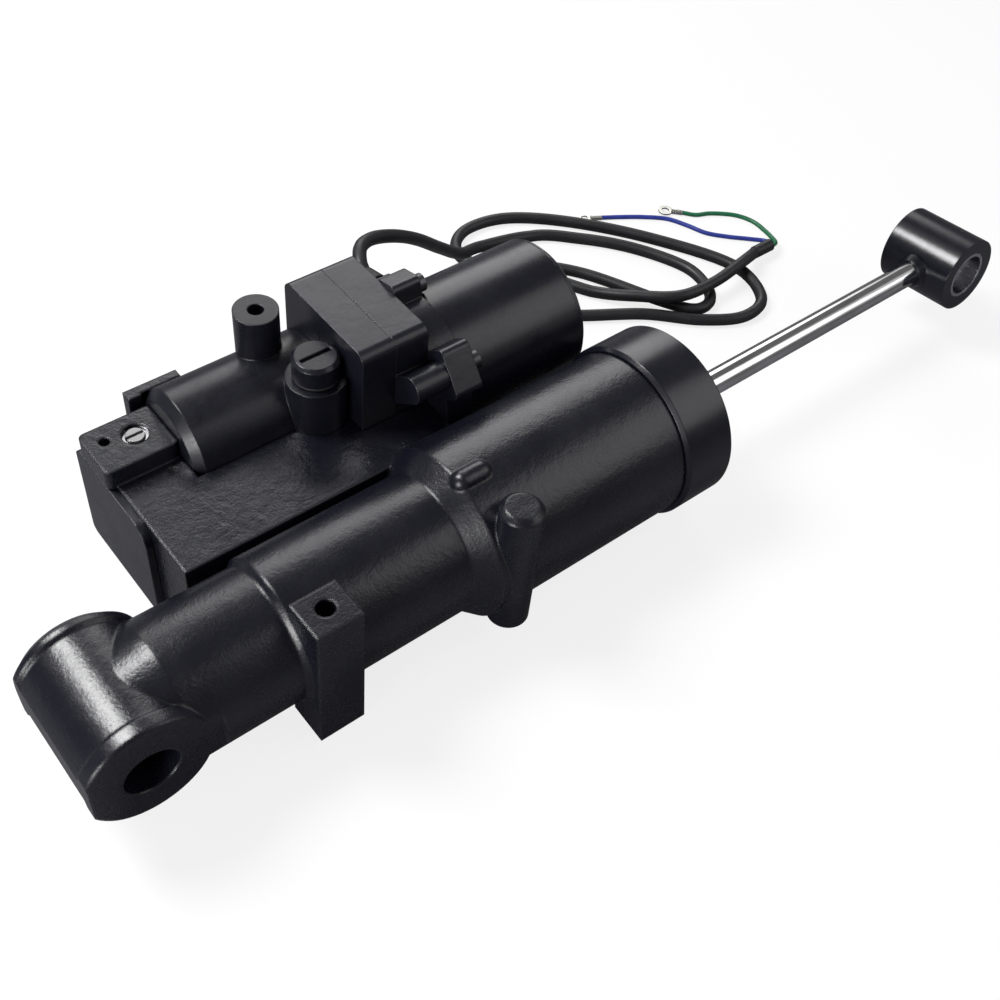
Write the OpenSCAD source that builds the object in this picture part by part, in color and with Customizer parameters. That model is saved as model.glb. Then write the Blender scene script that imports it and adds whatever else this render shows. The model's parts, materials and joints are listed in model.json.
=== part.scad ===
// Power trim and tilt unit: one tilt ram with its electric pump on a cast manifold.
// The origin is the middle of the lower pivot. X runs along the ram to the rod eye,
// Y points to the pump side and Z is up. The unit lies as on a bench, at rest_z.

/* [Ram] */
// Outside diameter of the main tube
tube_d = 80; // [76:1:92]
// Bore that the tilt piston runs in
bore_d = 50; // [44:1:52]
// Diameter of the piston rod
rod_d = 12.5; // [11:0.5:15]
// Wall round the bore at the neck beside the lower pivot
neck_wall = 5; // [4:0.5:6]
// Wall of the stretch between the neck and the main tube
middle_wall = 7.4; // [7:0.2:9]
// Where the neck steps up to the middle stretch
neck_end_x = 65; // [62:1:66]
// Where the middle stretch starts to widen
middle_end_x = 145; // [140:1:148]
// Length of the cone up to the main tube
widen_len = 9; // [6:1:12]
// Where the main tube ends at the end cap
tube_end_x = 257.6; // [250:0.2:275]
// How far the end cap stands proud of the main tube
cap_step = 2.3; // [1:0.1:6]
// Length of the end cap that shows
cap_len = 28.3; // [24:0.1:36]
// Distance from the lower pivot to the rod eye as the unit lies
pin_to_pin = 489; // [470:1:540]
// Travel left from the rest pose to full reach
reach_left = 3.7; // [3:0.1:3.7]

/* [Pivots] */
// Diameter of the lower pivot bore
lower_bore_d = 23; // [18:0.5:26]
// Wall of the lower boss round its bore
lower_boss_wall = 15; // [13:0.5:18]
// Width of the lower boss
lower_boss_w = 61; // [56:1:64]
// Diameter of the upper pivot bore, inside its bush
eye_bore_d = 22; // [16:0.5:24]
// Wall of the rod eye round its bush
eye_wall = 7.4; // [5:0.2:10]
// Width of the rod eye
eye_w = 41; // [32:1:52]
// Turn of the rod eye about the ram as it lies
eye_turn = 7; // [0:1:15]

/* [Manifold] */
// Outer end face of the manifold block
block_x = 50; // [46:1:50]
// Height of the flat top of the block
block_top = 15; // [14:0.5:16]
// Distance from the motor axis to the far side of the block
block_reach = 43; // [41:1:46]
// Bottom of the block, which the unit lies on
rest_z = -42.3; // [-46:0.1:-42.3]
// Where the block meets the pump housing
pump_x = 151.5; // [149.5:0.5:152.5]

/* [Pump and motor] */
// Thickness of the pump housing and of the adapter behind it
slab_t = 17; // [16:0.5:18]
// Metal over the top motor screw of the pump housing
slab_cover = 4; // [3.5:0.5:6]
// Thickness of the motor flange
flange_t = 14; // [13:0.5:16]
// Diameter of the motor can
can_d = 68; // [67:1:70]
// Length of the motor can
can_len = 70.8; // [68:0.2:90]
// Height of the motor axis
motor_z = 15; // [14.5:0.5:15.5]
// Gap between the main tube and the motor can
motor_gap = 4; // [3.5:0.5:6]

/* [Reservoir] */
// Outside diameter of the reservoir
tank_d = 50; // [48:1:50]
// Wall of the reservoir
tank_wall = 3; // [2.5:0.5:4]
// Closed end of the reservoir
tank_x = 80; // [78:1:84]
// How far the reservoir stands out beyond the block
tank_out = 2.8; // [2:0.2:4]
// Floor between the reservoir and the valve bore
tank_floor = 3.4; // [3:0.2:5]

/* [Cable] */
// Diameter of the sheathed cable
cable_d = 6.6; // [6:0.2:7]
// Diameter of the leads inside it
lead_d = 2.6; // [2.2:0.2:2.8]

/* [Hidden] */
$fn = 48;

// Clearances
over = 1;            // overrun of every cut
run = 0.04;          // running fit, on the radius
slip = 0.05;         // slip fit inside one body
apart = 0.3;         // least gap between moving bodies

// Colours
black_paint = [0.07, 0.075, 0.1];
bare_steel = [0.72, 0.73, 0.75];
cast_grey = [0.55, 0.56, 0.58];
rubber_black = [0.04, 0.04, 0.045];
bronze = [0.66, 0.5, 0.3];
copper = [0.72, 0.42, 0.26];
magnet_grey = [0.22, 0.22, 0.24];
resin_brown = [0.35, 0.24, 0.16];
seal_green = [0.18, 0.3, 0.24];
lead_blue = [0.1, 0.14, 0.5];
lead_green = [0.05, 0.35, 0.16];

// Radii and stations of the barrel
tube_r = tube_d / 2;
bore_r = bore_d / 2;
rod_r = rod_d / 2;
neck_r = bore_r + neck_wall;
middle_r = bore_r + middle_wall;
cap_r = tube_r + cap_step;
nose_x = -6;                     // rounded start of the neck
nose_round = 8;
nose_r = neck_r - nose_round;
nose_full_x = 18;
tube_start_x = middle_end_x + widen_len;
cap_gap = 0.6;                   // groove between the tube and the cap
cap_x = tube_end_x + cap_gap;
cap_end_x = cap_x + cap_len;
thread_step = 7;
thread_r = bore_r + thread_step; // screwed nose of the end cap
thread_len = 18.2;
nose_end_x = cap_x - thread_len; // front of the screwed nose
oil_ring = 1;                    // oil space in front of the nose
cap_edge = 1.6;
barrel_floor_x = 48;             // closed end of the bore

// Lower boss
boss_r = lower_bore_d / 2 + lower_boss_wall;
boss_off = 2.5;                  // the boss reaches further on the pump side
boss_near = boss_off - lower_boss_w / 2;
boss_far = boss_near + lower_boss_w;
boss_raise = 0.8;                // its outside sits above the bore's axis
boss_collar = 6.5;               // raised collar at the near face
boss_waist = 1.4;                // how deep the waist behind it is
boss_edge = 1;
boss_far_round = 4;
boss_cut = 2.5;                  // how deep the flat is cut
boss_flat = boss_r - boss_cut;   // distance from the bore to the flat
boss_cut_2 = 0.7;
boss_flat_2 = boss_r - boss_cut_2;   // distance to the sloping flat above it
boss_flat_2_turn = -40;          // its slope
boss_trim_x = 30;                // how far the near face runs along the neck

// Lugs and nub on the barrel
lug_x = 67;
lug_w = 21;
lug_out = 3.1;
lug_near = -middle_r - lug_out;
lug_depth = 19.5;
lug_rise = 3.6;
lug_half_h = middle_r + lug_rise;
lug_hole_r = 4;
lug_hole_in = 10.5;
lug_hole_y = lug_near + lug_hole_in;
lug_hole_depth = 16;
round_lug_off = 11;
round_lug_x = tube_start_x + round_lug_off;
round_lug_in = 7;                // its axis inside the tube's surface
round_lug_y = round_lug_in - tube_r;
round_lug_r = 9.4;
round_lug_drop = 10;
round_lug_rise = 3;
round_lug_bottom = round_lug_drop - tube_r;
round_lug_top = tube_r + round_lug_rise;
round_lug_edge = 2.4;
nub_off = 2;
nub_x = tube_start_x + nub_off;
nub_len = 9;
nub_r = 5;
nub_y = -6;
nub_in = 2;
nub_z = tube_r - nub_in;

// Manifold block, measured from the motor axis
motor_y = tube_r + can_d / 2 + motor_gap;
block_far = motor_y + block_reach;
groove_out = 0.6;
block_near = middle_r + groove_out;  // edge of the groove beside the barrel
slab_reach_near = 21;
slab_reach_far = 39;
slab_near = motor_y - slab_reach_near;
slab_far = motor_y + slab_reach_far;
web_x = 54;                      // web that joins the block to the barrel
web_bottom = -32;
web_top = 3;
arm_x = pump_x + 2 * slab_t - apart;
pad_x = 46.5;                    // pad that carries the release valve
pad_w = 33.5;
pad_off = 10;
pad_len = 26;
pad_near = motor_y + pad_off;
pad_far = pad_near + pad_len;
pad_rise = 9;
pad_top = block_top + pad_rise;
pad_edge = 3;
saddle_gap = 0.4;                // between the reservoir and its saddle
saddle_x = tank_x - saddle_gap;
rib_x = 73.5;                    // rib outside the reservoir's closed end
rib_end_x = 99;
rib_bite = 2;
rib_out = 3.5;
rib_near = block_far - rib_bite;
rib_far = block_far + rib_out;
rib_bottom = -5;
rib_rise = 11;
rib_top = block_top + rib_rise;
cored_hole_r = 2.4;              // small hole beside the release valve
cored_hole_x = 54.5;
cored_hole_in = 9;
cored_hole_y = pad_far - cored_hole_in;
cored_hole_depth = 7;
dot_r = 1.8;                     // pressed plug over a drilled passage
dot_x = 73;
dot_off = 5;
dot_y = motor_y + dot_off;
dot_depth = 1.2;

// End cover
cover_t = 3.5;
cover_off = 3;
cover_near = slab_near + cover_off;
cover_edge = 2;
cover_far = block_far - cover_edge;
cover_lift = 1.3;
cover_bottom = rest_z + cover_lift;
cover_top = block_top - cover_edge;
cover_round = 9;
cover_small_round = 4;
pocket_inset = 6;                // land round the pocket under the cover
pocket_depth = 5;
gasket_t = 0.8;

// Shuttle valve in its bore
valve_off = 2;
valve_y = motor_y + valve_off;
valve_lift = 18.3;
valve_z = rest_z + valve_lift;
valve_r = 7;
valve_mid_x = 90;
valve_half = 36;
shuttle_half = 7;
shuttle_travel = 1.5;
pin_r = 1.5;
pin_half = 17.5;
seat_start = 14;
seat_len = 7;
seat_hole_r = 2.4;
check_ball_r = 3;
check_spring_r = 2.7;
check_wire_r = 0.5;
check_curls = 4;
port_r = 2;
cylinder_port_x = 53;            // opens behind the free piston

// Relief valve
relief_off = 26;
relief_y = motor_y + relief_off;
relief_drop = 2;
relief_z = valve_z - relief_drop;
relief_r = 5;
relief_seat_x = 100;
relief_seat_len = 6;
relief_hole_r = 1.8;
relief_ball_r = 2.4;
relief_plug_len = 13;
relief_spring_r = 2.2;
relief_wire_r = 0.7;
relief_curls = 8;
relief_socket_r = 2;
relief_socket_depth = 5;

// Manual release valve
release_off = 20.5;
release_x = pad_x + release_off;
release_in = 12;
release_y = pad_far - release_in;
release_hole_r = 5.8;
release_hole_depth = 14;
release_shoulder_r = 5.7;
release_sink = 5.6;
release_shoulder_top = pad_top - release_sink;
release_head_r = 4;
release_head_sink = 0.4;
release_head_top = pad_top - release_head_sink;
release_thread_r = 4.4;
release_thread_bottom = 3;
release_tip_r = 1.5;
release_tip_z = -8;
release_stem_r = 2.4;            // stem between the tip and the thread
release_step = 1;                // chamfers where the valve changes diameter
release_lift = 2.4;
release_slot_w = 1.4;
release_slot_depth = 2;
release_ring_depth = 9.8;
release_ring_z = pad_top - release_ring_depth;           // O-ring on the shoulder
release_ring_wire = 1.1;
circlip_t = 1;
circlip_depth = 2.8;
circlip_z = pad_top - circlip_depth;
circlip_inner_r = 4.3;
circlip_outer_r = 6.5;
circlip_mouth = 3;

// Inner parts of the ram
piston_len = 20;
piston_front_x = nose_end_x - reach_left - apart;
piston_back_x = piston_front_x - piston_len;
seal_groove_w = 4;
seal_groove_depth = 3.5;
seal_groove_x = piston_front_x - 9;
plate_t = 2;
plate_in = 5;
plate_r = bore_r - plate_in;
nut_len = 7;
nut_wall = 3;
nut_back_x = piston_back_x - plate_t - nut_len;
spigot_step = 1.25;
spigot_r = rod_r - spigot_step;
nut_corner_r = (spigot_r + nut_wall) / cos(30);
free_gap = 0.3;
free_len = 10;
free_front_x = nut_back_x - free_gap;
free_back_x = free_front_x - free_len;
free_ring_wire = 1.7;
shock_count = 4;
shock_pitch_r = (bore_r + spigot_r) / 2;
shock_hole_r = 1.6;
shock_pocket_r = 3.2;
shock_pocket_len = 12;
shock_ball_r = 2.6;
shock_wire_r = 0.45;
shock_spring_r = 2.4;
shock_curls = 4;

// Rod eye
eye_bush_t = 1.6;
eye_r = eye_bore_d / 2 + eye_bush_t + eye_wall;
rod_socket = 5;                  // how far the rod enters the eye
rod_tip_chamfer = 1;
weld_len = 3;

// End cap seals and bush
seal_section = 3.75;
wiper_r = rod_r + seal_section;
wiper_len = 5.5;
wiper_lip = 1.5;
rod_seal_off = 6;
rod_seal_x = nose_end_x + rod_seal_off;
rod_seal_len = 5;
rod_seal_r = rod_r + seal_section;
guide_off = 11;
guide_x = rod_seal_x + guide_off;
guide_len = 16;
guide_wall = 2.25;
guide_r = rod_r + guide_wall;
rod_room = 0.35;
rod_passage_r = rod_r + rod_room;
cap_ring_off = 7;
cap_ring_x = nose_end_x + cap_ring_off;
cap_ring_wire = 1.6;
spanner_hole_r = 3;
spanner_hole_depth = 8;
spanner_in = 11.3;
spanner_pitch_r = cap_r - spanner_in;
spanner_count = 4;

// Reservoir
tank_r = tank_d / 2;
tank_in_r = tank_r - tank_wall;
tank_y = block_far + tank_out - tank_r;
tank_z = valve_z + valve_r + tank_floor + saddle_gap + tank_r;
tank_edge = 4;
plug_off = 10.5;
plug_x = pump_x - plug_off;
plug_in = 1;
plug_y = motor_y - plug_in;
filler_r = 13.5;
filler_rise = 1.5;
filler_top = tank_z + tank_r + filler_rise;
filler_bottom = block_top + apart / 2;
filler_hole_r = 6;
filler_reach = 6.2;
filler_hole_bottom = tank_z + filler_reach;
boss_x_off = 20;
boss_x = pump_x - boss_x_off;    // small mounting boss on top
boss_y_off = 9.2;
boss_y = tank_y + boss_y_off;
boss_outer_r = 10;
boss_rise = 20.2;
boss_top = tank_z + tank_r + boss_rise;
boss_hole_r = 3.5;
boss_hole_depth = 14;
spigot_len = 4;
spigot_wall = 3;
tank_ring_wire = 1.1;
filter_in_r = 2.4;
filter_wall = 0.8;
filter_r = filter_in_r + filter_wall;
filter_len = 8;
filter_rows = 6;
filter_rings = 2;
filter_hole_r = 0.6;

// Filler plug
plug_head_r = 10.5;
plug_edge = 1.5;
plug_chamfer = 1;
plug_thread_len = 11;
plug_ring_wire = 0.9;
plug_head_bottom = filler_top + 2 * plug_ring_wire;
plug_head_len = 10;
plug_head_top = plug_head_bottom + plug_head_len;
plug_slot_w = 2;
plug_slot_depth = 1.8;
plug_slot_len = 15;

// Pump housing and adapter
ear_step = 5;
slab_lift = 1.3;
slab_bottom = rest_z + slab_lift;
ear_hole_near = can_d / 2 + ear_step;   // motor screws, from the motor axis
slab_top = motor_z + ear_hole_near + slab_cover;
slab_gap = 0.3;                  // between the housing and the corner of the block
slab_y = slab_near + slab_gap;
slab_edge = 5;
adapter_x = pump_x + slab_t;
flange_x = adapter_x + slab_t;
can_x = flange_x + flange_t;
can_end_x = can_x + can_len;
ear_angles = [75, 143, 255, 323];
adapter_ear_r = 6.5;

// Gear pump
gear_module = 1.25;
gear_teeth = 12;
gear_w = 9.9;
gear_play = 0.05;                // at each side of a gear
pressure_angle = 25;
backlash_share = 0.03;
gear_pitch_r = gear_module * gear_teeth / 2;
gear_tip_r = gear_pitch_r + gear_module;
gear_root_r = gear_pitch_r - gear_module * 1.2;
gear_space = 0.1;                // extra distance between the two shafts
gear_shift = 2 * gear_pitch_r + gear_space;
gear_chamber_gap = 0.1;
gear_x = adapter_x - gear_w - gear_play;
shaft_r = 4;
shaft_front = 5.5;               // journal in front of the gears
idler_back = 8;                  // journal behind the driven gear
drive_end_off = 1.8;
drive_end_x = flange_x - drive_end_off;
shaft_split = 0.6;               // between the gear shaft and the motor shaft
tongue_t = 2;
tongue_half_w = 3.2;
tongue_len = 8;
tongue_fit = 0.1;
seal_len = 5;
seal_gap = 0.3;
seal_x = flange_x - seal_gap - seal_len;
seal_r = 9;
suction_rise = 5.2;
suction_y = motor_y + gear_shift / 2;
suction_z = motor_z + suction_rise;
gallery_depth = 11.5;
gallery_x = pump_x + gallery_depth;
gallery_off = 4;
gallery_y = motor_y + gallery_off;
pump_screw_near = 11;            // screws that hold the pump to the block
pump_screw_far = 30;
pump_screw_y = [motor_y - pump_screw_near, motor_y + pump_screw_far];
pump_screw_lift = 8.3;
pump_screw_z = rest_z + pump_screw_lift;
pump_screw_r = 3;
pump_screw_bite = 14;
pump_screw_head_r = 5;
pump_screw_head_len = 6;
hex_socket_share = 0.5;

// Motor
motor_screw_r = 2.5;
motor_screw_bite = 12;
motor_screw_head_r = 4.2;
motor_screw_head_len = 5;
flange_step = 3;
flange_disc_r = can_d / 2 + flange_step;
shaft_room = 1;                  // between the shaft and the flange
ear_over = 7;
ear_end = ear_hole_near + ear_over;
ear_half_w = 11.5;
top_ear_half_w = 7;
ear_edge = 3;
cable_boss_off = 17;
cable_boss_w = 11;
cable_boss_near = motor_y + cable_boss_off;
cable_boss_far = cable_boss_near + cable_boss_w;
cable_boss_rise = 21;
cable_boss_h = 13;
cable_boss_low = motor_z + cable_boss_rise;
cable_boss_high = cable_boss_low + cable_boss_h;
can_wall = 2.5;
can_r = can_d / 2;
can_edge = 2;
end_cap_t = 3;
end_cap_spigot = 4;
magnet_off = 16.5;
magnet_x = can_x + magnet_off;
magnet_len = 42;
magnet_t = 5;
magnet_gap = 0.1;
magnet_arc = 140;
core_off = 5;
core_x = magnet_x + core_off;
core_len = 33;
core_gap = 0.7;
core_r = can_d / 2 - can_wall - magnet_gap - magnet_t - core_gap;
core_slots = 12;
core_slot_w = 3.4;
core_slot_depth = 9;
winding_len = 6;
winding_in = 9.7;
winding_r = core_r - winding_in;
commutator_off = 5.5;
commutator_x = can_x + commutator_off;
commutator_len = 9;
commutator_r = 11;
bar_slit = 0.8;
bar_slit_depth = 1;
holder_off = 2.5;
holder_x = can_x + holder_off;
holder_t = 2;
holder_in_r = 12.5;
brush_w = 7;
brush_h = 6;
brush_len = 9;
brush_box_wall = 1.2;
brush_spring_r = 2.2;
brush_wire_r = 0.4;
brush_curls = 5;
bearing_len = 7;
front_bearing_r = 10;
front_bearing_off = 3.5;
front_bearing_x = flange_x + front_bearing_off;
rear_bearing_off = 9.3;
rear_bearing_x = can_end_x - rear_bearing_off;
rear_bearing_r = 9;
motor_shaft_end_x = rear_bearing_x + bearing_len;
bearing_ring_t = 1.8;

// Coil springs
wire_steps = 8;                  // rings in one coil
wire_sides = 6;

// Cable
gland_x_off = 7.5;
gland_x = flange_x + gland_x_off;
gland_z = (cable_boss_low + cable_boss_high) / 2;
gland_y = cable_boss_far;
gland_out = 9;
gland_r = 6;
gland_tip_r = 4.4;
gland_in = 10;
gland_plug_r = 5;
gland_room_r = 2.3;              // room for the leads inside the gland
cable_r = cable_d / 2;
lead_r = lead_d / 2;
cable_start_y = gland_y + gland_out;
cable_points = [[193, 115, 42.5], [195, 122, 45], [201, 130, 45.5], [212, 135.5, 42],
    [228, 139, 34], [246, 145, 20], [268, 154, -1], [291, 164.5, -22], [311, 172, -31.2],
    [348, 171, -39], [372, 153, -39], [392, 130, -39], [406, 102, -39],
    [405, 83, -39], [397, 71.5, -39], [385, 71.5, -39], [374, 87, -39],
    [353, 128, -39], [330, 153, -39], [305, 171, -39], [306, 187, -39],
    [322, 196, -39], [348, 191, -39], [377, 168, -39], [407, 131, -39],
    [431, 87, -39], [425, 58, -39], [405, 51.5, -39], [382, 63, -39],
    [358, 84.5, -39], [326, 104, -39], [304, 122, -39], [308, 144, -39],
    [327, 144.5, -39], [346, 115, -39], [361, 95, -35], [379, 78.5, -31.6],
    [404, 76.5, -31.6], [430, 80, -31.4], [447, 85.5, -36]];
cable_rings = 62;
cable_sides = 10;
sleeve_dir = [1, 0, 0];          // way the cable and its sheath end point
sleeve_len = 13;
sleeve_r = 3.6;
blue_points = [[460, 87.2, -36.6], [464, 88.8, -38.5], [465, 93.5, -40.5], [460, 99, -41],
    [450, 108, -41], [441, 118, -41], [436, 130, -41], [430, 141, -41], [419, 150, -41],
    [408, 157, -41], [397, 163, -40.8]];
green_points = [[460, 84.2, -36], [466, 86, -37.5], [470.5, 92, -40], [473, 101, -41],
    [473, 111, -41], [468, 121, -41], [457, 130, -41], [448, 134, -41], [442, 140, -40.8]];
lead_rings = 14;
lead_sides = 8;
terminal_r = 4.2;
terminal_hole_r = 2.1;
terminal_t = 0.9;
terminal_barrel_r = 1.5;
terminal_barrel_len = 7;
terminal_bite = 1;               // overlap of the barrel and the ring

// Shapes along an axis
module rod_x(x0, x1, r) {
    translate([x0, 0, 0]) rotate([0, 90, 0]) cylinder(h = x1 - x0, r = r);
}
module rod_y(y0, y1, r) {
    translate([0, y1, 0]) rotate([90, 0, 0]) cylinder(h = y1 - y0, r = r);
}
module rod_z(z0, z1, r) {
    translate([0, 0, z0]) cylinder(h = z1 - z0, r = r);
}
module box(x0, x1, y0, y1, z0, z1) {
    translate([x0, y0, z0]) cube([x1 - x0, y1 - y0, z1 - z0]);
}
// Points are [radius, x]
module turned_x(points) {
    rotate([0, 90, 0]) rotate_extrude() polygon(points);
}
// Points are [radius, y]
module turned_y(points) {
    rotate([-90, 0, 0]) rotate_extrude() polygon(points);
}
// Points are [radius, z]
module turned_z(points) {
    rotate_extrude() polygon(points);
}
// A flat shape drawn in Y and Z, thick along X
module plate_x(x0, x1) {
    translate([x0, 0, 0]) rotate([90, 0, 90]) linear_extrude(height = x1 - x0) children();
}
module ring_x(x, ring_r, wire_r) {
    translate([x, 0, 0]) rotate([0, 90, 0]) rotate_extrude() translate([ring_r, 0]) circle(r = wire_r);
}
module ring_z(z, ring_r, wire_r) {
    translate([0, 0, z]) rotate_extrude() translate([ring_r, 0]) circle(r = wire_r);
}
// A rectangle with its own radius at each end of its low and high side
module round_rect(x0, x1, y0, y1, r) {
    translate([x0 + r, y0]) square([x1 - x0 - 2 * r, y1 - y0]);
    translate([x0, y0 + r]) square([x1 - x0, y1 - y0 - 2 * r]);
    for (x = [x0 + r, x1 - r], y = [y0 + r, y1 - r])
        translate([x, y]) circle(r = r);
}
module at_motor() {
    translate([0, motor_y, motor_z]) children();
}
module at_valve() {
    translate([0, valve_y, valve_z]) children();
}
module at_relief() {
    translate([0, relief_y, relief_z]) children();
}
module at_tank() {
    translate([0, tank_y, tank_z]) children();
}

// Vectors and sweeps
function unit(v) = v / norm(v);
function bend(p0, p1, p2, p3, t) = 0.5 * (2 * p1 + (p2 - p0) * t
    + (2 * p0 - 5 * p1 + 4 * p2 - p3) * t * t + (3 * p1 - p0 - 3 * p2 + p3) * t * t * t);
function before(p) = 2 * p[0] - p[1];
function after(p) = 2 * p[len(p) - 1] - p[len(p) - 2];
function pick(p, i) = i < 0 ? before(p) : i >= len(p) ? after(p) : p[i];
function along(p, s) = let (i = min(floor(s), len(p) - 2), t = s - i)
    bend(pick(p, i - 1), p[i], p[i + 1], pick(p, i + 2), t);
function laid(p, r) = [p[0], p[1], max(p[2], rest_z + r)];
function route(p, rings, r) = [for (k = [0 : rings - 1]) laid(along(p, k * (len(p) - 1) / (rings - 1)), r)];
function heading(c, k) = unit(c[min(k + 1, len(c) - 1)] - c[max(k - 1, 0)]);
function aside(h) = unit(cross([0, 0, 1], h));
function ring_points(c, k, h, r, sides) = let (a = aside(h), b = cross(h, a))
    [for (j = [0 : sides - 1]) c[k] + r * (cos((j + 0.5) * 360 / sides) * a
        + sin((j + 0.5) * 360 / sides) * b)];
function tube_faces(n, sides) = concat(
    [for (j = [1 : sides - 2]) [0, j, j + 1]],
    [for (j = [1 : sides - 2]) [(n - 1) * sides, (n - 1) * sides + j + 1, (n - 1) * sides + j]],
    [for (k = [0 : n - 2], j = [0 : sides - 1]) let (m = (j + 1) % sides)
        [k * sides + j, (k + 1) * sides + j, (k + 1) * sides + m]],
    [for (k = [0 : n - 2], j = [0 : sides - 1]) let (m = (j + 1) % sides)
        [k * sides + j, (k + 1) * sides + m, k * sides + m]]);
// The first and last ring face start_dir and end_dir
module swept(points, rings, r, sides, start_dir, end_dir) {
    c = route(points, rings, r);
    rows = [for (k = [0 : rings - 1]) ring_points(c, k,
        k == 0 ? start_dir : k == rings - 1 ? end_dir : heading(c, k), r, sides)];
    polyhedron(points = [for (row = rows) each row], faces = tube_faces(rings, sides));
}
function route_length(c) = len(c) < 2 ? 0 : norm(c[1] - c[0])
    + route_length([for (k = [1 : len(c) - 1]) c[k]]);
// How far from a ball's centre a spring that rests on it ends
function seat_off(ball_r, coil_r, wire_r) = sqrt(pow(ball_r + wire_r, 2) - coil_r * coil_r) - wire_r + slip;
// A coil spring along X, from zero to its length
function coil_point(coil_r, length, curls, k) = let (turn = k / wire_steps)
    [length * turn / curls, coil_r * cos(360 * turn), coil_r * sin(360 * turn)];
module coil_spring(coil_r, wire_r, length, curls) {
    n = curls * wire_steps + 1;
    rise = length - 2 * wire_r;
    c = [for (k = [0 : n - 1]) coil_point(coil_r, rise, curls, k)];
    rows = [for (k = [0 : n - 1]) let (h = heading(c, k), a = unit(cross([1, 0, 0], h)), b = cross(h, a))
        [for (j = [0 : wire_sides - 1]) c[k] + [wire_r, 0, 0]
            + wire_r * (cos(j * 360 / wire_sides) * a + sin(j * 360 / wire_sides) * b)]];
    polyhedron(points = [for (row = rows) each row], faces = tube_faces(n, wire_sides));
}

// Barrel, lower boss and manifold, cast as one piece
module barrel_outside() {
    turned_x([[0, nose_x], [nose_r, nose_x], [neck_r, nose_full_x], [neck_r, neck_end_x],
        [middle_r, neck_end_x + middle_r - neck_r], [middle_r, middle_end_x],
        [tube_r, tube_start_x], [tube_r, tube_end_x], [0, tube_end_x]]);
}
module lower_boss_outside() {
    waist_r = boss_r - boss_waist;
    intersection() {
        translate([0, 0, boss_raise]) turned_y([[0, boss_near], [boss_r - boss_edge, boss_near],
            [boss_r, boss_near + boss_edge], [boss_r, boss_near + boss_collar],
            [waist_r, boss_near + boss_collar + boss_waist], [waist_r, boss_far - 2 * boss_far_round],
            [boss_r, boss_far - 2 * boss_far_round + boss_waist], [boss_r, boss_far - boss_far_round],
            [boss_r - boss_far_round, boss_far], [0, boss_far]]);
        box(-boss_flat, 2 * boss_r, -lower_boss_w, lower_boss_w, -2 * boss_r, 2 * boss_r);
        rotate([0, boss_flat_2_turn - 90, 0])
            box(-2 * boss_r, 2 * boss_r, -lower_boss_w, lower_boss_w, -2 * boss_r, boss_flat_2);
    }
}
module side_lug() {
    box(lug_x, lug_x + lug_w, lug_near, lug_near + lug_depth, -lug_half_h, lug_half_h);
}
module round_lug() {
    translate([round_lug_x, round_lug_y, 0])
        turned_z([[0, round_lug_bottom], [round_lug_r - round_lug_edge, round_lug_bottom],
            [round_lug_r, round_lug_bottom + round_lug_edge],
            [round_lug_r, round_lug_top - round_lug_edge],
            [round_lug_r - round_lug_edge, round_lug_top], [0, round_lug_top]]);
}
module tube_nub() {
    translate([0, nub_y, nub_z]) {
        rod_x(nub_x, nub_x + nub_len, nub_r);
        for (x = [nub_x, nub_x + nub_len])
            translate([x, 0, 0]) sphere(r = nub_r);
    }
}
module block_outside() {
    box(block_x, pump_x, block_near, block_far, rest_z, block_top);
    box(pump_x - over, arm_x, block_near, slab_near, rest_z, block_top);
    box(web_x, arm_x, 0, block_near + over, web_bottom, web_top);
    box(rib_x, rib_end_x, rib_near, rib_far, rib_bottom, rib_top);
    translate([0, 0, block_top - over]) linear_extrude(height = pad_top - block_top + over)
        round_rect(pad_x, pad_x + pad_w, pad_near, pad_far, pad_edge);
}
module pocket_shape(gap) {
    round_rect(cover_near + pocket_inset + gap, cover_far - pocket_inset - gap,
        cover_bottom + pocket_inset + gap, cover_top - pocket_inset - gap,
        cover_small_round - gap);
}
module cylinder_passages() {
    start = [valve_mid_x - valve_half + port_r + over, valve_y, valve_z];
    finish = [cylinder_port_x, 0, valve_z];
    slope = atan2(start[0] - finish[0], start[1] - finish[1]);
    translate(finish) rotate([0, 0, -slope]) rotate([-90, 0, 0])
        cylinder(h = norm(start - finish), r = port_r);
}
module rod_gallery() {
    gallery_r = (thread_r + bore_r) / 2;
    translate([0, gallery_r, 0])
        rod_x(valve_mid_x + valve_half - 2 * port_r, nose_end_x - oil_ring + over, port_r);
    translate([valve_mid_x + valve_half - port_r - over, 0, 0])
        translate([0, gallery_r, 0]) cross_drill();
}
module cross_drill() {
    gallery_r = (thread_r + bore_r) / 2;
    run_y = valve_y - gallery_r;
    rotate([atan2(valve_z, run_y), 0, 0]) rotate([-90, 0, 0])
        cylinder(h = norm([run_y, valve_z]), r = port_r);
}
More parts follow.
